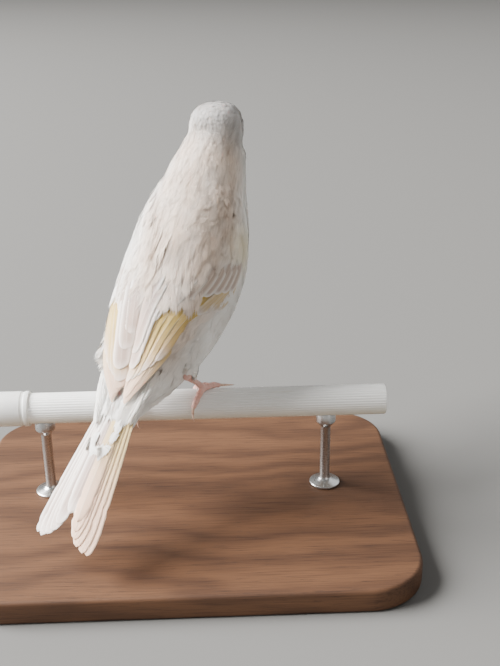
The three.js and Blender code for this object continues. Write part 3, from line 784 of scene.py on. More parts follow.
BAKE_PATCH = 0.003  # the size of one small feather on the bake map
SEARCH_FROM = 4 * MM
ROWS = np.array([0, 0.2, 0.4, 0.6, 0.8, 1])  # shares of a feather's length at which its lie is found
RISEN = 0.35  # the share of the length in which it rises from the skin
LAYER = 0.035  # how far a feather's start lies below its tip, as a share of its length
SLOPE = 0.35  # the steepest that a feather climbs or falls along its length


def lie_on_bird(roots, normals, ways, lengths, tree):
    """Where each row of each feather lies on the outside of the bird, and the normals there. It
    bridges over steps and hollows."""
    rows = roots[:, None] + ways[:, None] * (lengths[:, None] * ROWS)[..., None]
    heights = np.zeros(rows.shape[:2])
    outwards = np.empty_like(rows)
    for index, (row, outward) in enumerate(zip(rows, normals)):
        outward = Vector(outward)
        for k, point in enumerate(row):
            start = Vector(point) + outward * SEARCH_FROM
            spot, normal, _, away = tree.ray_cast(start, -outward, 2.5 * SEARCH_FROM)
            if spot is None:
                heights[index, k] = heights[index, k - 1] if k else 0
            else:
                heights[index, k] = SEARCH_FROM - away
                normal = normal if normal.dot(outward) > 0 else -normal
                if normal.dot(outward) > 0.5:
                    outward = (outward + normal).normalized()
            outwards[index, k] = outward
    apart = np.abs(ROWS[:, None] - ROWS) * lengths[:, None, None] * SLOPE
    heights = (heights[:, None] - apart).max(2)
    return rows + outwards * heights[..., None], outwards


def eased(share):
    """Rises smoothly from 0 to 1."""
    share = np.clip(share, 0, 1)
    return share * share * (3 - 2 * share)


def grow(name, draw, roots, normals, ways, lengths, halves, lifts, bank, tree=cover_tree):
    """Sets a feather of the bank at each root. It rises from the root and lies on the outside of
    the bird, which the tree holds, raised by its lift."""
    ways = unit(ways + np.cross(normals, ways) * draw.normal(0, 0.06, (len(roots), 1)))
    lengths = lengths * draw.uniform(0.85, 1.15, len(roots))
    halves = halves * draw.uniform(0.85, 1.15, len(roots))
    lies, lie_normals = lie_on_bird(roots, normals, ways, lengths, tree)
    depths = np.linalg.norm(lies[:, 0] - roots, axis=1)
    set_feathers(name, draw, lies, lie_normals, depths, halves, lifts, bank)


def set_feathers(name, draw, lies, lie_normals, depths, halves, lifts, bank):
    """One mesh of feathers that follow these rows of points, and start this deep below them."""
    shapes = draw.integers(0, len(bank), len(lies))
    tone = draw.random(len(lies))
    patches_at = skin_map(lies[:, 0])
    all_spots, all_faces, vane_map, patches, tones = [], [], [], [], []
    first = 0
    for kind, (corners, strands, faces) in enumerate(bank):
        picked = np.flatnonzero(shapes == kind)
        across, along, height = corners.T
        place = np.clip(along * (len(ROWS) - 1), 0, len(ROWS) - 1.001)
        row = place.astype(int)
        part = (place - row)[:, None]
        spots = lies[picked][:, row] * (1 - part) + lies[picked][:, row + 1] * part
        normal = unit(lie_normals[picked][:, row] * (1 - part) + lie_normals[picked][:, row + 1] * part)
        heading = unit(lies[picked][:, row + 1] - lies[picked][:, row])
        sideways = unit(np.cross(normal, heading))
        risen = eased(along / RISEN)
        layer = LAYER * np.linalg.norm(lies[picked, -1] - lies[picked, 0], axis=1)[:, None]
        rise = lifts[picked, None] * along - depths[picked, None] * (1 - risen) - layer * (1 - along) * risen
        spots = spots + sideways * (halves[picked, None] * across)[..., None]
        spots += normal * (rise + halves[picked, None] * height)[..., None]
        count, size = len(picked), len(corners)
        all_spots.append(spots.reshape(-1, 3))
        starts = first + np.arange(count) * size
        for face in faces:
            all_faces.append(starts[:, None] + np.array(face))
        first += count * size
        local = np.stack([across * 0.4 + 0.5, along], 1)
        vane_map.append(np.tile(local, (count, 1)))
        patches.append((patches_at[picked, None] + local * BAKE_PATCH).reshape(-1, 2))
        tones.append((0.5 * tone[picked, None] + 0.5 * strands).ravel())
    spots, vanes, patches, tones = map(np.concatenate, (all_spots, vane_map, patches, tones))
    faces = [row for block in all_faces for row in block]
    dress(build_mesh(name, spots, faces, vanes, patches, tone=tones), coat_finish, "plumage")


def skin_map(points):
    """The skin unrolled: round the spine, and along it."""
    place, middle, direction = along_spine(points)
    off = points - middle
    over = unit(np.cross(np.cross(direction, up_way), direction))
    side = np.cross(direction, over)
    angle = np.arctan2((off * side).sum(1), (off * over).sum(1))
    return np.stack([angle / (2 * math.pi) * 0.99 + 0.5, place / len(spine_points)], 1)


draw = np.random.default_rng(11)
feather_bank = [plume(draw, 11) for _ in range(8)]
roots, root_normals = scattered(draw, lambda points: size_at(along_spine(points)[0], 2), 0.31 * MM)
ways, places, thigh_share = lie_of(roots, root_normals)
lengths = size_at(places, 0) * (1 - 0.5 * thigh_share)
halves = size_at(places, 1) * (1 - 0.4 * thigh_share)
BILL_EDGE = 9.9 * MM  # from the head's middle
EYE_CLEAR = 2.95 * MM
keep = (roots - HEAD_MIDDLE) @ head_axis <= BILL_EDGE
beside_eye, _ = by_eye(roots, EYE_CLEAR, EYE_CLEAR + 2 * MM)
lengths *= 1 - 0.4 * beside_eye
keep &= beside_eye < 1
# The lower feathers of the left flank trail beside the wing's tip to the tail's root. They and the
# tuft have feathers of their own.
TRAILING_LEFT = [
    (-6, 9.8, 22.4), (-10, 9.4, 19.5), (-17, 8.5, 14.2),
    (-20.6, 7.2, 11), (-24.4, 5.7, 7.6), (-29, 4.6, 3.4),
]
for line, start, end, clear in ((FLANK_TUFT, 0.3, 1.2, 3.9), (TRAILING_LEFT, 0.25, 0.85, 2.9)):
    path = through(on_bird(line), np.linspace(start, end, 20))
    keep &= np.linalg.norm(roots[:, None] - path, axis=2).min(1) >= clear * MM
# None grow this far under the wings' cores, but behind the thighs they run on below the tips.
REAR = 6.3
UNDER_CORE, UNDER_TIP = 5 * MM, 1 * MM
reach = np.where(places < REAR, UNDER_CORE, UNDER_TIP)
keep &= np.array([
    core_tree.ray_cast(Vector(root + normal * 0.1 * MM), Vector(normal), far)[0] is None
    for root, normal, far in zip(roots, root_normals, reach)
])
# Regions from the bill back, each with its end as a point of the spine.
REGIONS = {"face": 1.4, "crown": 2.4, "neck": 3.6, "breast": 5, "belly": REAR, "rear": np.inf}
start = 0
for name, end in REGIONS.items():
    here = keep & (places >= start) & (places < end)
    start = end
    lifts = draw.uniform(-0.1, 0.12, here.sum()) * np.interp(places[here], [0, 2.5], [0.4, 1]) * MM
    picked = (values[here] for values in (roots, root_normals, ways, lengths, halves))
    grow(f"coat_{name}", draw, *picked, lifts, feather_bank, rear_tree if name == "rear" else cover_tree)


# Wing coverts and scapulars
# The fore part of the wing is covered by rows of small rounded feathers, and long loose ones lie
# from the shoulder over the wing's back edge, so that wing and back run into each other.
def wing_rows(wing, draw, rows):
    """Roots in rows on the wing: points, outward normals, ways, lengths and half widths. Each row
    gives the share along the wing, the shares across it from and to, the spacing, the length and
    the half width in millimetres, and how far the feathers point to the flank."""
    found = [[], [], [], [], []]
    for p, q_from, q_to, spacing, length, half, slant in rows:
        count = max(2, round(float(wing.wide(np.array(p))) / MM * (q_to - q_from) / spacing))
        q = np.linspace(q_from, q_to, count) + draw.normal(0, 0.25, count) * (q_to - q_from) / count
        at = p + draw.normal(0, 0.006, count)
        inside = np.clip(q, 0.02, 0.98)
        out = wing.out(at, inside)
        edge_way = unit(wing.point(at, inside + 0.02) - wing.point(at, inside - 0.02))
        point = wing.point(at, inside) + edge_way * ((q - inside) * wing.wide(at))[:, None]
        way = unit(wing.point(at + 0.03, np.clip(inside + slant * 0.1, 0, 1)) - wing.point(at, inside))
        way = unit(way - out * (way * out).sum(1)[:, None])
        for values, made in zip(found, (point - out * 1.1 * MM, out, way, length, half)):
            values.append(made if np.ndim(made) else np.full(count, made * MM))
    return [np.concatenate(values) for values in found]


LESSER = [(p, 0.04, 1.0, 1.5, 5.5 + 12 * p, 1.15 + 2.2 * p, 0.1) for p in np.arange(-0.01, 0.21, 0.022)]
MEDIAN = [(0.215, 0.12, 0.98, 2.0, 10.5, 2.0, 0.0), (0.25, 0.12, 0.7, 2.1, 12, 2.1, 0.0)]
SCAPULARS = [(p, -0.22, 0.3, 1.7, 9.5 + 15 * p, 1.5 + 1.9 * p, 0.4) for p in np.arange(-0.02, 0.42, 0.025)]
FLANK_EDGE = [(p, 0.93, 1.25, 1.4, 8 + 4 * p, 1.3, 0) for p in np.arange(0.03, 0.62, 0.03)]
WING_PLUMES = {  # rows, and how far they are raised
    "coverts": (LESSER + MEDIAN, 0.1),
    "scapulars": (SCAPULARS, 0.35),
    "flank_edge": (FLANK_EDGE, 0.15),
}
for side, wing in WINGS.items():
    draw = np.random.default_rng(61 if side == "left" else 62)
    broad_bank = [plume(draw, 15, 5, 0.86, 0.08) for _ in range(7)]
    for title, (rows, lift) in WING_PLUMES.items():
        found = wing_rows(wing, draw, rows)
        lifts = (lift + draw.uniform(-0.15, 0.15, len(found[0]))) * MM
        grow(f"{title}_{side}", draw, *found, lifts, broad_bank)


# Loose tufts
# Long soft feathers stand away from the body under the left wing, and hang from the thighs over
# the tops of the shanks.
def free_feathers(name, starts, tips, outs, arch, halves):
    """Feathers from each start to its tip, arched outwards by a share of their length."""
    t = ROWS[:, None]
    lengths = np.linalg.norm(tips - starts, axis=1)
    bend = outs * (lengths * arch)[:, None]
    lies = starts[:, None] * (1 - t) + tips[:, None] * t + bend[:, None] * 4 * t * (1 - t)
    heading = unit(tips - starts)
    normals = unit(outs - heading * (outs * heading).sum(1)[:, None])
    normals = np.repeat(normals[:, None], len(ROWS), axis=1)
    none = np.zeros(len(starts))
    set_feathers(name, draw, lies, normals, none, halves, none, long_bank)


draw = np.random.default_rng(71)
long_bank = [plume(draw, 9, 5, 0.72, 0.3) for _ in range(6)]
# The upper and the lower ones of the flank's loose feathers start and end here.
FLANK_STARTS = [(-2, 11.4, 26.5), (-11, 11, 19.5)]
FLANK_TIPS = [(-18.2, 13.4, 18.2), (-18.4, 10.4, 15.4)]
count = 190
round_it = draw.uniform(0, 2 * math.pi, count)
share = (0.5 - 0.5 * np.cos(round_it) * draw.random(count) ** 0.4)[:, None]
start_line, tip_line = map(on_bird, (FLANK_STARTS, FLANK_TIPS))
starts = start_line[0] * (1 - share) + start_line[1] * share
tips = tip_line[0] * (1 - share) + tip_line[1] * share
downwards = unit(tip_line[1] - tip_line[0])
across = unit(np.cross(downwards, unit(tip_line[0] - start_line[0])))
over = np.sin(round_it)[:, None] * across - 0.8 * np.cos(round_it)[:, None] * downwards
ahead = (draw.random(count) ** 1.6)[:, None] * 0.55
starts = starts + (tips - starts) * (draw.random(count)[:, None] * 0.35) + over * 1.6 * MM
tips = tips + (starts - tips) * ahead + across * draw.normal(0, 0.5, (count, 1)) * MM
free_feathers("tuft_flank", starts, tips, unit(over), 0.05, draw.uniform(0.6, 1.1, count) * MM)

# Others trail along a path, round it at these distances in millimetres, each over a share of it.
TRAILING_RIGHT = [
    (-14, -7.8, 19.6), (-17, -6.8, 16.6), (-19.6, -6.1, 13.8),
    (-22, -5.5, 11), (-24.5, -4.9, 8.2), (-27, -4.4, 5.6),
]
for name, line, radii, count, reach in (
    ("trailing_left", TRAILING_LEFT, [1.6, 2.1, 2.2, 1.8, 1.3, 0.5], 190, 0.3),
    ("trailing_right", TRAILING_RIGHT, [0.9, 1, 1, 0.9, 0.6, 0.3], 120, 0.4),
):
    path = on_bird(line)
    share = draw.random(count) * (1 - reach)
    heading = unit(path[-1] - path[0])
    sideways = unit(np.cross(heading, up_way))
    round_it = draw.uniform(0, 2 * math.pi, count)[:, None]
    over = np.cos(round_it) * sideways + np.sin(round_it) * np.cross(sideways, heading)
    spots = [
        through(path, at) + over * (np.interp(at, np.linspace(0, 1, len(radii)), radii) * MM)[:, None]
        for at in (share, share + reach)
    ]
    free_feathers(name, *spots, over, 0.03, draw.uniform(0.9, 1.4, count) * MM)

# The joints of the toes, on top of the perch.
ANKLES = {"right": (4.2, -8.8, 6.1), "left": (-6.9, 6.3, 5.6)}
for side, thigh in THIGHS.items():
    knee, heel, ankle = on_bird([*thigh, ANKLES[side]])
    count = 120
    leg = unit(heel - knee)
    across = unit(np.cross(leg, up_way))
    over = np.cross(across, leg)
    round_it = draw.uniform(0, 2 * math.pi, count)
    outs = np.cos(round_it)[:, None] * over + np.sin(round_it)[:, None] * across
    share = draw.random(count)
    starts = heel + leg * (-4.5 + 3.5 * share)[:, None] * MM + outs * (2.6 - share)[:, None] * MM
    shank = unit(ankle - heel)
    tips = heel + shank * (1.2 + 2.2 * draw.random(count))[:, None] * MM
    tips += leg * (0.8 * draw.random(count))[:, None] * MM
    tips += outs * draw.uniform(0.9, 1.7, count)[:, None] * MM
    free_feathers(f"tuft_thigh_{side}", starts, tips, outs, 0.1, draw.uniform(0.45, 0.8, count) * MM)


# Wing and tail feathers
# The long feathers are thin closed vanes, each with its shaft, that overlap in tiers. Their webs
# are fine barbs that slant out from the shaft. The outer webs of the long wing feathers are
# yellow, the rest are pinkish grey with pale edges.
def flight_finish():
    finish = Finish("long_feathers", BARB_GLOSS | {"Roughness": 0.62})
    across, length = finish.on_vane()
    side = abs(across)
    tone, gold, rose = (finish.attribute(name) for name in ("tone", "gold", "rose"))
    streaks = finish.noise(finish.vector(across * 7, length * 2.5, tone * 40), detail=3)
    ground = finish.mix(tone * 0.6, srgb(233, 227, 222), srgb(222, 212, 205))
    centre = finish.step(side, 0.85, 0.3) * finish.step(length, 1.0, 0.88)
    colour = finish.mix(centre * (1 - gold * 0.6), ground, srgb(174, 154, 147))
    yellow = finish.mix(finish.step(streaks, 0.35, 0.7), srgb(212, 182, 98), srgb(190, 156, 72))
    outer_web = (finish.step(across, -0.6, 0.0) * 0.15 + 0.85) * finish.step(length, 1.0, 0.75) * gold
    colour = finish.mix(outer_web, colour, yellow)
    tipped = rose * finish.step(length, 0.4, 0.85)
    colour = finish.mix(tipped, colour, srgb(230, 192, 164))
    edge = finish.step(side, 0.78, 0.97)
    colour = finish.mix(edge * 0.65 * (1 - gold * 0.6), colour, srgb(240, 235, 228))
    shaft = finish.step(side, 0.07, 0.03)
    colour = finish.mix(shaft * 0.5, colour, srgb(214, 200, 186))
    colour = finish.mix((streaks - 0.4) * 0.5, colour, srgb(196, 180, 172))
    finish.feed("Base Color", colour)
    soften(finish)
    barbs = ((length * 95 + side * 9) * 6.283).sine()
    finish.bump(barbs * 0.5 + streaks, 0.04 * MM, 0.5)
    return finish


# Outlines as the share of the fullest width at each share of the length.
def rounded(share, tip=0.82, root=0.55):
    """A feather of even width with a round end."""
    body = root + (1 - root) * np.clip(share / 0.4, 0, 1) ** 0.8
    end = np.clip((share - tip) / (1 - tip), 0, 1)
    return body * np.sqrt(np.maximum(0, 1 - end**2.2)) + 0.02


def pointed(share):
    """A primary, which narrows slowly to a blunt point."""
    return rounded(share, 0.9, 0.6) * (1 - 0.36 * np.clip((share - 0.45) / 0.55, 0, 1) ** 1.2)


def rounded_tail(share):
    """A tail feather, widest near its end."""
    return rounded(share, 0.86, 0.45) * (0.72 + 0.28 * np.clip((share - 0.2) / 0.5, 0, 1))


VANE_COLUMNS = np.array([-1, -0.72, -0.4, -0.12, -0.035, 0.035, 0.12, 0.4, 0.72, 1])
VANE_THICK = 0.09
SHAFT_HALF = 0.04  # the shaft's half width, as a share of the vane's
SHAFT_RISE = 0.09


def long_feather(draw, place, half, outline, section, outer=0.8, rows=26):
    """Corners, faces and map of one closed vane. Place takes shares of the length, distances
    across and heights in millimetres. The outer web is narrower than the inner one."""
    share = 1 - (1 - np.linspace(0, 1, rows)) ** 1.25
    width = outline(share)
    ragged = 1 - 0.05 * draw.random(rows) * (share > 0.2)
    for _ in range(draw.integers(0, 3)):
        ragged[draw.integers(rows // 2, rows - 2)] -= draw.uniform(0.08, 0.2)
    t, u = np.meshgrid(share, VANE_COLUMNS, indexing="ij")
    web = np.where(u > 0, outer, 2 - outer) * half * width[:, None]
    across = u * web * np.where(np.abs(u) > 0.9, ragged[:, None], 1)
    edge = np.where(u > 0, section["outer"], section["inner"])
    height = edge * np.abs(u) + section["top"] * (1 - u**2)
    shaft = SHAFT_RISE * (np.abs(u) < SHAFT_HALF) * (1 - 0.8 * t)
    thin = VANE_THICK * (1 - 0.6 * np.abs(u))
    corners, faces = closed_plate(place(t, across, height + shaft), place(t, across, height - thin))
    local = np.stack([u * 0.5 + 0.5, t], -1).reshape(-1, 2)
    return corners, faces, np.concatenate([local, local])


def feather_piece(name, feathers, core, node, slot):
    """One mesh of long feathers and the core under them. Each feather is (corners, faces, map,
    gold, rose), and has its own strip of the bake map."""
    blocks = [(*core, np.tile((0.5, 0.3), (len(core[0]), 1)), 0.0, 0.0), *feathers]
    per_row = math.ceil(math.sqrt(len(blocks) * 4))
    tall = math.ceil(len(blocks) / per_row)
    cells = [(index % per_row, index // per_row) for index in range(len(blocks))]
    tones = np.random.default_rng(5).random(len(blocks))
    sizes = [len(block[0]) for block in blocks]
    cells, tones, golds, roses = (
        np.repeat(np.array(values), sizes, axis=0)
        for values in (cells, tones, [block[3] for block in blocks], [block[4] for block in blocks])
    )
    vanes = np.concatenate([block[2] for block in blocks])
    bakes = (cells + 0.04 + vanes * 0.92) / (per_row, tall)
    piece = build_mesh(
        name, *merged(block[:2] for block in blocks), vanes, bakes, tone=tones, gold=golds, rose=roses
    )
    shape = bmesh.new()
    shape.from_mesh(piece.data)
    bmesh.ops.recalc_face_normals(shape, faces=shape.faces)
    shape.to_mesh(piece.data)
    shape.free()
    dress(piece, long_finish, slot, node)


long_finish = flight_finish()
SHINGLED = {"inner": -0.11, "top": 0.03, "outer": 0.06}
FREE = {"inner": -0.10, "top": 0.22, "outer": -0.10}
# Tiers of the folded wing from the lowest up: how many, half the width, height over the wing's
# face, the share of the outer web, yellow on it, pink at the tip, and where the first feather, at
# the back, and the last, by the flank, have root and tip as shares of the wing's length and width.
TIERS = {
    "primaries": (
        pointed, 10, 1.9, -0.35, 0.7, 0.8, 0.9, ((0.50, 0.52), (0.46, 0.94)), ((0.92, 0.10), (1.0, 0.70))
    ),
    "secondaries": (
        rounded, 6, 2.0, -0.15, 0.9, 1.0, 0.35, ((0.48, 0.36), (0.46, 0.80)), ((0.90, 0.20), (0.76, 0.72))
    ),
    "tertials": (
        rounded, 3, 2.1, 0.20, 1.0, 0.0, 0.3, ((0.36, 0.12), (0.44, 0.26)), ((0.70, 0.09), (0.84, 0.21))
    ),
    "primary_coverts": (
        rounded, 4, 1.3, -0.10, 0.9, 0.6, 0.0, ((0.32, 0.84), (0.30, 0.97)), ((0.56, 0.84), (0.50, 0.97))
    ),
    "greater_coverts": (
        rounded, 9, 1.7, 0.10, 1.0, 0.1, 0.0, ((0.40, 0.26), (0.22, 0.90)), ((0.64, 0.32), (0.40, 0.92))
    ),
}
DIP = 0.6  # how far a feather's root dips under the tier above
MIDLINE = -0.9  # the left wing reaches this far over the bird's middle


def wing_place(wing, root, tip, height):
    def place(t, across, above):
        p = root[0] + (tip[0] - root[0]) * t
        q = root[1] + (tip[1] - root[1]) * t + across * MM / np.maximum(wing.wide(p), 5 * MM)
        rise = above + height - DIP * (1 - eased(t / 0.45))
        return wing.point(p, q) + wing.out(p, q) * (rise * MM)[..., None]

    return place


for side, wing in WINGS.items():
    draw = np.random.default_rng(21 if side == "left" else 22)
    feathers = []
    for outline, count, half, height, outer, gold, rose, roots, tips in TIERS.values():
        for index in range(count):
            k = index / (count - 1)
            root, tip = ((1 - k) * np.array(ends[0]) + k * np.array(ends[1]) for ends in (roots, tips))
            tip = tip + draw.normal(0, 0.004, 2)
            place = wing_place(wing, root, tip, height + draw.normal(0, 0.03))
            made = long_feather(draw, place, half, outline, SHINGLED, outer)
            feathers.append((*made, gold, rose))
    # The inner edges are pressed flat where they would cross the middle into the other wing.
    limit = (MIDLINE + 0.1 * wing.mirror) * MM
    core = cores[f"wing_{side}"]
    for corners, *_ in [*feathers, core]:
        off = (corners - np.array(PERCH)) @ left_way
        over = np.minimum(0, (off - limit) * wing.mirror)
        corners -= np.multiply.outer(over * wing.mirror, left_way)
    feather_piece(f"feathers_wing_{side}", feathers, core, f"wing_{side}", "wing_feathers")


# Tail
# Six long feathers a side, spread in two lobes with a notch between them. The middle ones lie on
# top, and coverts run over the root from the rump above and from the vent below.
# Distance along the tail and to the left of each tip, from the middle one out.
TAIL_TIPS = {
    "right": [(43.4, -1.7), (46, -2), (47.8, -2.7), (49.4, -4), (50.4, -6), (50.6, -7.5)],
    "left": [(42, 1.7), (45.6, 4.2), (47.6, 5.2), (48.8, 6.5), (49.6, 8.4), (49, 10.3)],
}
TAIL_START = -4  # the feathers' roots, under the rump
TAIL_HALF = 2.35
# Each lobe's side, how high it lies, and how much yellow and pink its feathers are given.
# The right lobe's ochre and peach are painted warm shade, on the side away from the light.
LOBES = {"right": (-1, 0.2, 0.85, 1.0), "left": (1, 0, 0.0, 0.15)}


def tail_place(start, far, left, way, level):
    def place(t, across, above):
        aside = start + (left - start) * t + way * across
        return tail_point(TAIL_START + (far - TAIL_START) * t, aside, above + level)

    return place


draw = np.random.default_rng(31)
feathers = []
for side, (way, lobe_level, gold, rose) in LOBES.items():
    for index, (far, left) in reversed(list(enumerate(TAIL_TIPS[side]))):
        place = tail_place(way * (0.4 + 0.42 * index), far, left, way, (5 - index) * 0.13 + lobe_level)
        section, outer = (SHINGLED, 0.85) if index else (FREE, 1)
        feathers.append((*long_feather(draw, place, TAIL_HALF, rounded_tail, section, outer, 34), gold, rose))
feather_piece("feathers_tail", feathers, cores["tail"], "tail", "tail_feathers")

# Coverts: rows of loose feathers over the root, from above (1) and from below (-1). Each is set at
# a distance along the tail and to the left, and its tip lies further out than its root. They lie
# this thick over the tail at these distances, and thinner at the sides.
COVERTS_AT = [-9, -2, 6, 12, 18]
for title, face, rows, count, thicks, round_off in (
    ("upper", 1, 13, 11, [4.2, 2.8, 1.9, 1.4, 0.85], 0.6),
    ("lower", -1, 11, 10, [5.2, 3.4, 1.8, 1.1, 0.35], 0.8),
):
    draw = np.random.default_rng(81 + face)
    row, column = (values.ravel() for values in lattice(0, rows - 1, rows, -1, 1, count))
    along = COVERTS_AT[0] + row * 19 / rows + draw.normal(0, 0.4, len(row))
    wide = np.interp(along, [-9, 0, 10], [7.4, 5.8, 4.6])
    wide *= np.where(column < 0, 1.16, 1)
    aside = (column + draw.normal(0, 0.06, len(row))) * wide + np.interp(along, [-9, 0, 8], [0.3, 0.9, 0.3])
    lengths = np.interp(along, [-9, 10], [9, 8]) * draw.uniform(0.85, 1.15, len(row))
    t = ROWS[None, :]
    distance = along[:, None] + lengths[:, None] * t
    left = aside[:, None] * (1 - 0.25 * t) * np.interp(distance, [0, 20], [1, 0.85])
    edge = np.clip(np.abs(left) / wide[:, None], 0, 1)
    height = np.interp(distance, COVERTS_AT, thicks) * np.sqrt(1 - round_off * edge**2) + 0.1 * t
    height *= face
    lies = tail_point(distance, left, height)
    normals = unit(face * tail_out / MM + (left * 0.12 * (1 + 1.6 * edge))[..., None] * left_way)
    depths = np.full(len(row), 0.9 * MM)
    halves = draw.uniform(1.3, 1.8, len(row)) * MM
    set_feathers(f"coverts_tail_{title}", draw, lies, normals, depths, halves, 0 * halves, long_bank)


# Eyes
# A round, almost black eye in a ring of bare, pinkish grey skin, whose lids are edged with beads.
def head(forward, left, up):
    """A point in millimetres from the middle of the head, along the head's own axis."""
    return HEAD_MIDDLE + bird(forward, left, up, HEAD_HEADING) - bird(0, 0, 0)


def clouded(name, constants, colour, dark, scale, low=0.35, detail=3):
    """A finish whose colour wavers over the piece between these two."""
    finish = Finish(name, constants)
    waver = finish.noise(finish.place(), scale, detail)
    return finish, finish.mix(finish.step(waver, low, 0.7), colour, dark)


EYE_GLOSS = {"Roughness": 0.06, "Coat Weight": 1, "Coat Roughness": 0.02, "IOR": 1.38}
eye_finish, eye_colour = clouded("eye", EYE_GLOSS, srgb(34, 22, 16), srgb(14, 10, 8), 500)
eye_finish.feed("Base Color", eye_colour)
lid_finish, lid_colour = clouded(
    "eyelid", {"Roughness": 0.55}, srgb(206, 180, 170), srgb(170, 142, 132), 2500
)
lid_finish.feed("Base Color", lid_colour)
lid_finish.bump(lid_finish.noise(lid_finish.place(), 5000), 0.08 * MM, 0.6)
EYE = {"forward": 4.5, "left": 4.95, "up": 1.1, "radius": 2.2}
LIDS = [(1.82, 0.24, 1.3, 0.9), (2.16, 0.32, 1.02, 0.94)]  # radius, thickness, place outwards, height
LID_BEADS = 26
BEAD_RISE = 0.05 * MM


def added(kind, **settings):
    """A new primitive, alone in the selection."""
    bpy.ops.object.select_all(action="DESELECT")
    getattr(bpy.ops.mesh, f"primitive_{kind}_add")(**settings)
    return bpy.context.object


def settle(piece, name):
    """Puts a finished piece's place into its mesh, and names it."""
    only(piece)
    bpy.ops.object.transform_apply(location=True, rotation=True, scale=True)
    piece.name = name
    piece.data.name = name
    return piece


for side, way in (("left", 1), ("right", -1)):
    middle = head(EYE["forward"], way * EYE["left"], EYE["up"])
    outward = unit(head(EYE["forward"] + 1.2, way * (EYE["left"] + 4), EYE["up"] + 0.3) - middle)
    turn = Vector(outward).to_track_quat("Z", "Y").to_euler()
    size = EYE["radius"] * MM
    ball = added("uv_sphere", segments=48, ring_count=32, radius=size, location=middle, rotation=turn)
    bpy.ops.object.shade_smooth()
    dress(settle(ball, f"eyeball_{side}"), eye_finish, "eye", f"eye_{side}")
    rings = []
    for radius, thick, out, squash in LIDS:
        ring = added(
            "torus",
            major_segments=56,
            minor_segments=10,
            major_radius=radius * MM,
            minor_radius=thick * MM,
            location=middle + outward * out * MM,
            rotation=turn,
        )
        ring.scale = (1, squash, 1)
        bpy.ops.object.shade_smooth()
        rings.append(ring)
    lids = settle(joined(*rings), f"eyelids_{side}")
    spots, normals = mesh_arrays(lids.data)
    flat = (spots - middle) - ((spots - middle) @ outward)[:, None] * outward
    up_on_lid = unit(np.cross(outward, head_axis))
    angle = np.arctan2(flat @ up_on_lid, flat @ head_axis)
    move_corners(lids, spots + normals * (BEAD_RISE * np.cos(angle * LID_BEADS))[:, None])
    dress(lids, lid_finish, "plumage")


# Bill
# A short cone of pale pinkish horn in two halves that meet at the mouth line. The upper half
# overlaps a little at the tip and has a nostril on each side under the feathers of the forehead.
bill_finish = Finish("bill_horn", {"Roughness": 0.36, "Specular IOR Level": 0.45})
soften(bill_finish)
along_bill, across_bill = (bill_finish.along(way, HEAD_MIDDLE) for way in (head_axis, left_way))
grain = bill_finish.noise(bill_finish.vector(along_bill * 0.5, across_bill * 5, along_bill * 0.1), detail=3)
horn = bill_finish.mix(bill_finish.step(along_bill, 10, 16), srgb(226, 186, 168), srgb(196, 160, 140))
horn = bill_finish.mix(bill_finish.step(grain, 0.45, 0.75) * 0.4, horn, srgb(240, 212, 196))
NOSTRILS = [head(9.9, way * 1.72, 1.35) for way in (1, -1)]
# At each nostril a dark brown spot is painted in the shallow dent: painted shade for the depth of the
# opening.
for nostril in NOSTRILS:
    horn = bill_finish.mix(bill_finish.near(nostril, 0.55), horn, srgb(92, 62, 54))
bill_finish.feed("Base Color", horn)
bill_finish.bump(grain, 0.06 * MM, 0.5)
BILL_ROOT = 6.7  # forward of the head's middle, under the feathers
BILL_HALF = 3
MOUTH = -0.9  # the mouth line's height there
NOSTRIL_RADIUS = 0.5 * MM
for name, way, rise, tip, tip_hook in (("upper", 1, 3.2, 16.1, 2.25), ("lower", -1, 2.45, 14.9, 0)):
    bill = added("uv_sphere", segments=64, ring_count=40, radius=1)
    spots, _ = mesh_arrays(bill.data)
    t = np.arccos(np.clip(spots[:, 2], -1, 1)) / math.pi  # from the root to the tip
    angle = np.arctan2(spots[:, 0], spots[:, 1])
    taper = np.sqrt(np.maximum(0, 1 - t**1.65)) * np.minimum(1, t * 9)
    over = np.cos(angle)
    domed = np.maximum(over, 0) ** 0.85 * rise * (1 + 0.06 * np.maximum(over, 0) ** 8)
    hollow = np.minimum(over, 0) * 0.35
    forward = BILL_ROOT + (tip - BILL_ROOT) * t
    left = np.sin(angle) * BILL_HALF * taper
    hook = 1.15 * t**2 + tip_hook * np.maximum(t - 0.9, 0)
    up = MOUTH - hook + way * (0.07 + (domed + hollow) * taper)
    spots = np.array([head(*point) for point in np.stack([forward, left, up], 1)])
    for nostril in NOSTRILS:
        away = np.linalg.norm(spots - nostril, axis=1)
        dent = np.clip(1 - away / NOSTRIL_RADIUS, 0, 1) ** 0.5
        spots += (HEAD_MIDDLE + head_axis * 9 * MM - nostril) * (dent * 0.16)[:, None]
    move_corners(bill, spots)
    bpy.ops.object.mode_set(mode="EDIT")
    bpy.ops.mesh.select_all(action="SELECT")
    bpy.ops.mesh.remove_doubles(threshold=0.02 * MM)
    bpy.ops.mesh.normals_make_consistent(inside=False)
    bpy.ops.object.mode_set(mode="OBJECT")
    bpy.ops.object.shade_smooth()
    dress(settle(bill, f"mandible_{name}"), bill_finish, "bill_horn", f"bill_{name}")


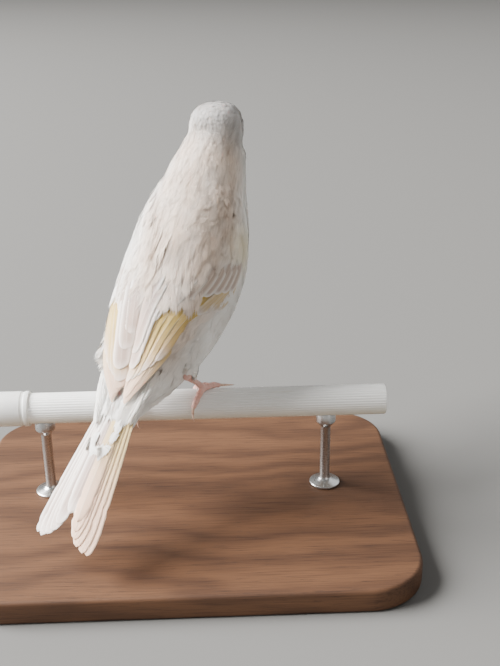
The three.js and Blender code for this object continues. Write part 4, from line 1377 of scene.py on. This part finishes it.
# Legs and feet
# Thin shanks and toes of pinkish bare skin. Broad scales cross the shanks and the tops of the
# toes, and each toe ends in a pale, curved, pointed claw.
LEG_GLOSS = {"Roughness": 0.5, "Specular IOR Level": 0.4}
leg_finish, blush = clouded("leg_skin", LEG_GLOSS, srgb(234, 190, 178), srgb(222, 168, 154), 420, 0.3)
soften(leg_finish)
# Where the ring attribute marks the grooves between the scales, the skin is painted a darker pink: painted
# shade in the grooves.
leg_finish.feed("Base Color", leg_finish.mix(leg_finish.attribute("ring") * 0.6, blush, srgb(196, 138, 124)))
leg_finish.bump(leg_finish.noise(leg_finish.place(), 3200), 0.04 * MM, 0.5)
CLAW_GLOSS = {"Roughness": 0.32, "Specular IOR Level": 0.45}
claw_finish, claw_colour = clouded(
    "claw_horn", CLAW_GLOSS, srgb(214, 184, 164), srgb(186, 150, 132), 1500, detail=2
)
soften(claw_finish)
claw_finish.feed("Base Color", claw_colour)

# Each foot by its place along the perch, in millimetres from midway between the feet, and the lean
# of its joint forward of the perch's top. Each toe by its lengths of pad and claw, its bearing over
# the perch, and how far the claw sweeps to the right; the hind toe goes backwards.
TOE_GRIP = 5.4  # from the perch's axis to a toe's middle
FEET = {
    "right": (9.7, -10, [
        ("hind", 6.8, 3.4, 24, 1.7), ("inner", 8, 3.4, -18, 0), ("middle", 12, 3.8, 14, 0),
        ("outer", 6.8, 3.3, 46, 2),
    ]),
    "left": (-9, -24, [
        ("hind", 7.6, 5.2, 2, 0.4), ("inner", 8, 3.4, 30, 0), ("middle", 12, 3.8, 4, 0),
        ("outer", 8.5, 3.3, -26, 0),
    ]),
}
SCALE_STEP = 0.95 * MM  # from one scale to the next
SCALE_RISE = 0.07 * MM


def round_perch(x, lean, radius):
    """Points beside the perch: along it, at an angle forward of straight up, and from its axis."""
    return np.array(PERCH) + np.stack([x, np.sin(lean) * radius, np.cos(lean) * radius], -1) * MM


def tube(path, radii, sides=20):
    """Corners and faces of a round closed tube along a path of points, in metres."""
    along = unit(np.gradient(path, axis=0))
    over = unit(np.cross(along[0], (0.31, 0.17, 0.93)))
    corners = []
    angle = np.linspace(0, 2 * math.pi, sides, endpoint=False)
    for point, way, radius in zip(path, along, radii):
        over = unit(over - way * (over @ way))
        beside = np.cross(way, over)
        circle = np.cos(angle)[:, None] * over + np.sin(angle)[:, None] * beside
        corners.append(point + circle * radius * MM)
    corners = np.concatenate(corners)
    faces = []
    for i in range(len(path) - 1):
        for j in range(sides):
            a, b = i * sides + j, i * sides + (j + 1) % sides
            faces.append((a, b, b + sides, a + sides))
    faces.append(tuple(range(sides - 1, -1, -1)))
    faces.append(tuple(range((len(path) - 1) * sides, len(path) * sides)))
    return corners, faces


def mesh_of(name, corners, faces):
    data = bpy.data.meshes.new(name)
    data.from_pydata([tuple(spot) for spot in corners], [], faces)
    made = bpy.data.objects.new(name, data)
    bpy.context.scene.collection.objects.link(made)
    return made


for side, (at, lean, toes) in FEET.items():
    lean = math.radians(lean)

    def toe_point(travelled, bearing, way, radius=TOE_GRIP):
        turned_by = np.cos(bearing) * travelled / TOE_GRIP
        return round_perch(at + way * np.sin(bearing) * travelled, lean + way * turned_by, radius)

    joint = round_perch(np.array(at), np.array(lean), TOE_GRIP + 0.5)
    heel = bird(*THIGHS[side][1])
    k = np.linspace(0, 1, 30)
    bow = np.sin(k * math.pi)[:, None] * 0.25 * MM * forward_way
    shank = joint + (heel - joint) * k[:, None] + bow
    pieces = [tube(shank, np.interp(k, [0, 0.12, 0.5, 0.88, 1], [1.05, 0.85, 0.75, 0.95, 1.1]))]
    for toe, length, claw_length, bearing, sweep in toes:
        way = -1 if toe == "hind" else 1
        bearing = math.radians(bearing)
        travelled = np.linspace(0, length, 34)
        pads = 0.07 * np.cos(travelled / 2.3 * 2 * math.pi)
        radii = np.interp(travelled / length, [0, 0.3, 0.8, 0.94, 1], [0.98, 0.86, 0.78, 0.7, 0.5])
        pieces.append(tube(toe_point(travelled, bearing, way), radii + pads))
        k = np.linspace(0, 1, 24)
        reach = length - 0.7 + k * (claw_length + 0.9)
        path = toe_point(reach, bearing, way, TOE_GRIP + 0.1 + 1.4 * k**2)
        path[:, 0] += sweep * k**2 * MM
        claw = mesh_of(f"nail_{side}_{toe}", *tube(path, 0.5 * (1 - k) ** 0.6 + 0.04, 16))
        claw.data.shade_smooth()
        dress(claw, claw_finish, "claw_horn", f"claw_{side}_{toe}")
    foot = mesh_of(f"foot_skin_{side}", *merged(pieces))
    apply_modifier(foot, "REMESH", mode="VOXEL", voxel_size=0.16 * MM)
    apply_modifier(foot, "SMOOTH", factor=0.5, iterations=6)
    spots, normals = mesh_arrays(foot.data)
    away = np.linalg.norm(spots - joint, axis=1)
    share = away / SCALE_STEP % 1
    swell = np.sqrt(share) * np.clip((1 - share) * 5, 0, 1)
    above = np.clip(((spots - np.array(PERCH))[:, 1:] * normals[:, 1:]).sum(1) / (5 * MM) + 0.4, 0, 1)
    fade = np.clip((away - 1.5 * MM) / MM, 0, 1) * above
    move_corners(foot, spots + normals * (SCALE_RISE * (swell - 0.4) * fade + 0.05 * MM)[:, None])
    # The grooves between the scales, which the leg's finish paints darker as shade.
    groove = (np.clip(1 - swell * 2.2, 0, 1) * fade).astype(np.float32)
    foot.data.attributes.new("ring", "FLOAT", "POINT").data.foreach_set("value", groove)
    foot.data.shade_smooth()
    dress(foot, leg_finish, "leg_skin", f"foot_{side}", f"shank_{side}")


# Perch
# A hollow-looking white plastic rod with fine ridges along it, cut square at the right end. A
# plain sleeve of the same plastic closes it at the left, with a rounded lip.
PERCH_LINE = (-59, 59)  # from end to end, in millimetres
PERCH_RADIUS = 4.5
RIDGES = 36
RIDGE_RISE = 0.1
SLEEVE_LENGTH = 13.8
SLEEVE_RADIUS = 5.1


def plastic_finish():
    finish = Finish("perch_plastic", {"Roughness": 0.42, "Coat Weight": 0.15, "Coat Roughness": 0.3})
    soften(finish, weight=0.35, spread=2, colour=(1, 0.95, 0.85))
    along, around, up = finish.axes(PERCH)
    low = finish.step(up, 1.5, -4.2)
    colour = finish.mix(low, srgb(240, 240, 238), srgb(232, 224, 204))
    dust = finish.noise(finish.vector(along * 0.12, around * 1.4, up * 1.4), detail=4)
    colour = finish.mix(finish.step(dust, 0.55, 0.8) * 0.3, colour, srgb(206, 198, 180))
    fine = finish.noise(finish.vector(along * 0.5, around * 9, up * 9))
    finish.feed("Base Color", colour)
    finish.feed("Roughness", finish.step(dust, 0.3, 0.8) * 0.2 + 0.34)
    finish.bump(fine, 0.03 * MM, 0.4)
    return finish


plastic = plastic_finish()


def turned(name, start, axis, profile, sides):
    """A round piece along an axis, from a filled circle that is extruded and resized from one
    point of its profile to the next. Each point is (distance from the start, radius)."""
    axis = Vector(axis)
    at = Vector(start) + axis * profile[0][0] * MM
    turn = axis.to_track_quat("Z", "Y").to_euler()
    radius = profile[0][1] * MM
    circle = added("circle", vertices=sides, radius=radius, fill_type="NGON", location=at, rotation=turn)
    piece = settle(circle, name)
    bpy.ops.object.mode_set(mode="EDIT")
    bpy.ops.mesh.select_mode(type="FACE")
    bpy.ops.mesh.select_all(action="SELECT")
    for (before, radius), (after, wider) in zip(profile, profile[1:]):
        step = axis * (after - before) * MM
        at += step
        bpy.ops.mesh.extrude_region_move(TRANSFORM_OT_translate={"value": step})
        scale = [1 if abs(part) > 0.5 else wider / radius for part in axis]
        bpy.ops.transform.resize(value=scale, center_override=at)
    bpy.ops.mesh.select_all(action="SELECT")
    bpy.ops.mesh.normals_make_consistent(inside=False)
    bpy.ops.object.mode_set(mode="OBJECT")
    return piece


def softened(piece, width, segments=3):
    """Rounds a piece's sharp edges and shades the rest smooth."""
    apply_modifier(piece, "BEVEL", width=width * MM, segments=segments, limit_method="ANGLE")
    only(piece)
    bpy.ops.object.shade_smooth_by_angle(angle=math.radians(35))


left_end, right_end = PERCH_LINE
rod_start = (0, PERCH.y, PERCH.z)
rim = [(0, 4.1), (0.12, 4.38), (0.4, PERCH_RADIUS)]
profile = [(left_end + 2 + d, r) for d, r in rim] + [(right_end - d, r) for d, r in reversed(rim)]
rod = turned("perch_rod", rod_start, (1, 0, 0), profile, RIDGES * 10)
spots, _ = mesh_arrays(rod.data)
off = spots[:, 1:] - np.array(PERCH)[1:]
radius = np.linalg.norm(off, axis=1)
angle = np.arctan2(off[:, 1], off[:, 0])
ridge = np.abs(np.cos(angle * RIDGES / 2)) ** 0.7
off *= (1 - RIDGE_RISE * MM * (1 - ridge) / radius)[:, None]
spots[:, 1:] = np.array(PERCH)[1:] + off
move_corners(rod, spots)
only(rod)
bpy.ops.object.shade_smooth_by_angle(angle=math.radians(40))
dress(rod, plastic, "perch_plastic", "perch")

end = left_end + SLEEVE_LENGTH
wide = SLEEVE_RADIUS
profile = [
    (left_end, wide - 0.5), (left_end + 0.5, wide), (end - 2.4, wide), (end - 2.1, wide - 0.22),
    (end - 1.5, wide - 0.22), (end - 1.2, wide + 0.04), (end - 0.1, wide + 0.04), (end, wide - 0.1),
    (end, PERCH_RADIUS - 0.1),
]
sleeve = turned("perch_sleeve", rod_start, (1, 0, 0), profile, 96)
softened(sleeve, 0.12)
dress(sleeve, plastic, "perch_plastic", "perch_collar")


# Display stand
# An oiled walnut base with rounded corners and edges, and two brushed steel rods. Each rod stands
# on a turned foot and ends in a cup that is hollowed to the perch.
BASE_SIZE = (128, 100, 7)
BASE_CORNER = 16
BASE_EDGE = 1.2
ROD_PLACES = {"left": -41.4, "right": 41.6}
ROD_PROFILE = [
    (0, 4.3), (0.15, 4.55), (0.6, 4.6), (0.85, 4.3), (1.2, 2.6), (1.9, 1.75), (2.8, 1.5),
    (19.4, 1.5), (20.0, 1.75), (20.9, 2.6), (21.4, 2.9), (25.2, 2.9),
]


def walnut_finish():
    finish = Finish("stand_walnut", {"Roughness": 0.6, "Specular IOR Level": 0.3})
    x, y, z = finish.axes()
    wander = finish.noise(finish.vector(x * 0.012, y * 0.03, z * 0.03), detail=3)
    rings = ((y + z * 0.6) * 0.42 + wander * 26).sine()
    grain = finish.noise(finish.vector(x * 0.07, y * 2.4, z * 2.4), detail=5)
    pores = finish.step(finish.noise(finish.vector(x * 0.22, y * 5.5, z * 5.5)), 0.62, 0.72)
    wood = finish.mix(rings * 0.25 + grain * 0.75, srgb(98, 68, 47), srgb(58, 38, 27))
    wood = finish.mix(finish.step(grain, 0.5, 0.78) * 0.5, wood, srgb(42, 27, 20))
    wood = finish.mix(pores * 0.6, wood, srgb(34, 22, 16))
    finish.feed("Base Color", wood)
    finish.feed("Roughness", grain * 0.22 + 0.5)
    finish.bump(grain * 0.4 - pores, 0.05 * MM, 0.5)
    return finish


def steel_finish():
    finish = Finish("stand_steel", {"Metallic": 1.0, "Base Color": srgb(196, 198, 200)})
    x, y, z = finish.axes()
    brushing = finish.noise(finish.vector(x * 0.6, y * 0.6, z * 14), detail=3)
    patches = finish.noise(finish.vector(x * 0.3, y * 0.3, z * 0.3))
    finish.feed("Base Color", finish.mix(patches, srgb(188, 190, 192), srgb(212, 212, 210)))
    finish.feed("Roughness", brushing * 0.22 + 0.18)
    finish.bump(brushing, 0.02 * MM, 0.35)
    return finish


base = added("cube", size=1, location=(0, 0, BASE_SIZE[2] / 2 * MM))
base.scale = [size * MM for size in BASE_SIZE]
settle(base, "walnut_base")
for offset, segments, upright in ((BASE_CORNER, 20, True), (BASE_EDGE, 5, False)):
    only(base)
    bpy.ops.object.mode_set(mode="EDIT")
    bpy.ops.mesh.select_mode(type="EDGE")
    bpy.ops.mesh.select_all(action="DESELECT")
    shape = bmesh.from_edit_mesh(base.data)
    for edge in shape.edges:
        low_end, high_end = (corner.co for corner in edge.verts)
        stands = abs(low_end.z - high_end.z) > 1e-4
        beside_face = any(abs(face.normal.z) > 0.9 for face in edge.link_faces)
        edge.select_set(stands if upright else beside_face and not stands)
    bmesh.update_edit_mesh(base.data)
    bpy.ops.mesh.bevel(offset=offset * MM, segments=segments, affect="EDGES")
    bpy.ops.object.mode_set(mode="OBJECT")
only(base)
bpy.ops.object.shade_smooth_by_angle(angle=math.radians(30))
dress(base, walnut_finish(), "stand_wood", "stand_base")

steel = steel_finish()
for side, x in ROD_PLACES.items():
    foot = (x * MM, PERCH.y, BASE_SIZE[2] * MM)
    post = turned(f"steel_rod_{side}", foot, (0, 0, 1), ROD_PROFILE, 64)
    hollow = added(
        "cylinder",
        vertices=96,
        radius=(PERCH_RADIUS + 0.03) * MM,
        depth=20 * MM,
        location=(x * MM, PERCH.y, PERCH.z),
        rotation=(0, math.pi / 2, 0),
    )
    apply_modifier(post, "BOOLEAN", operation="DIFFERENCE", object=hollow)
    bpy.data.objects.remove(hollow)
    softened(post, 0.12, 2)
    dress(post, steel, "stand_steel", f"stand_rod_{side}")
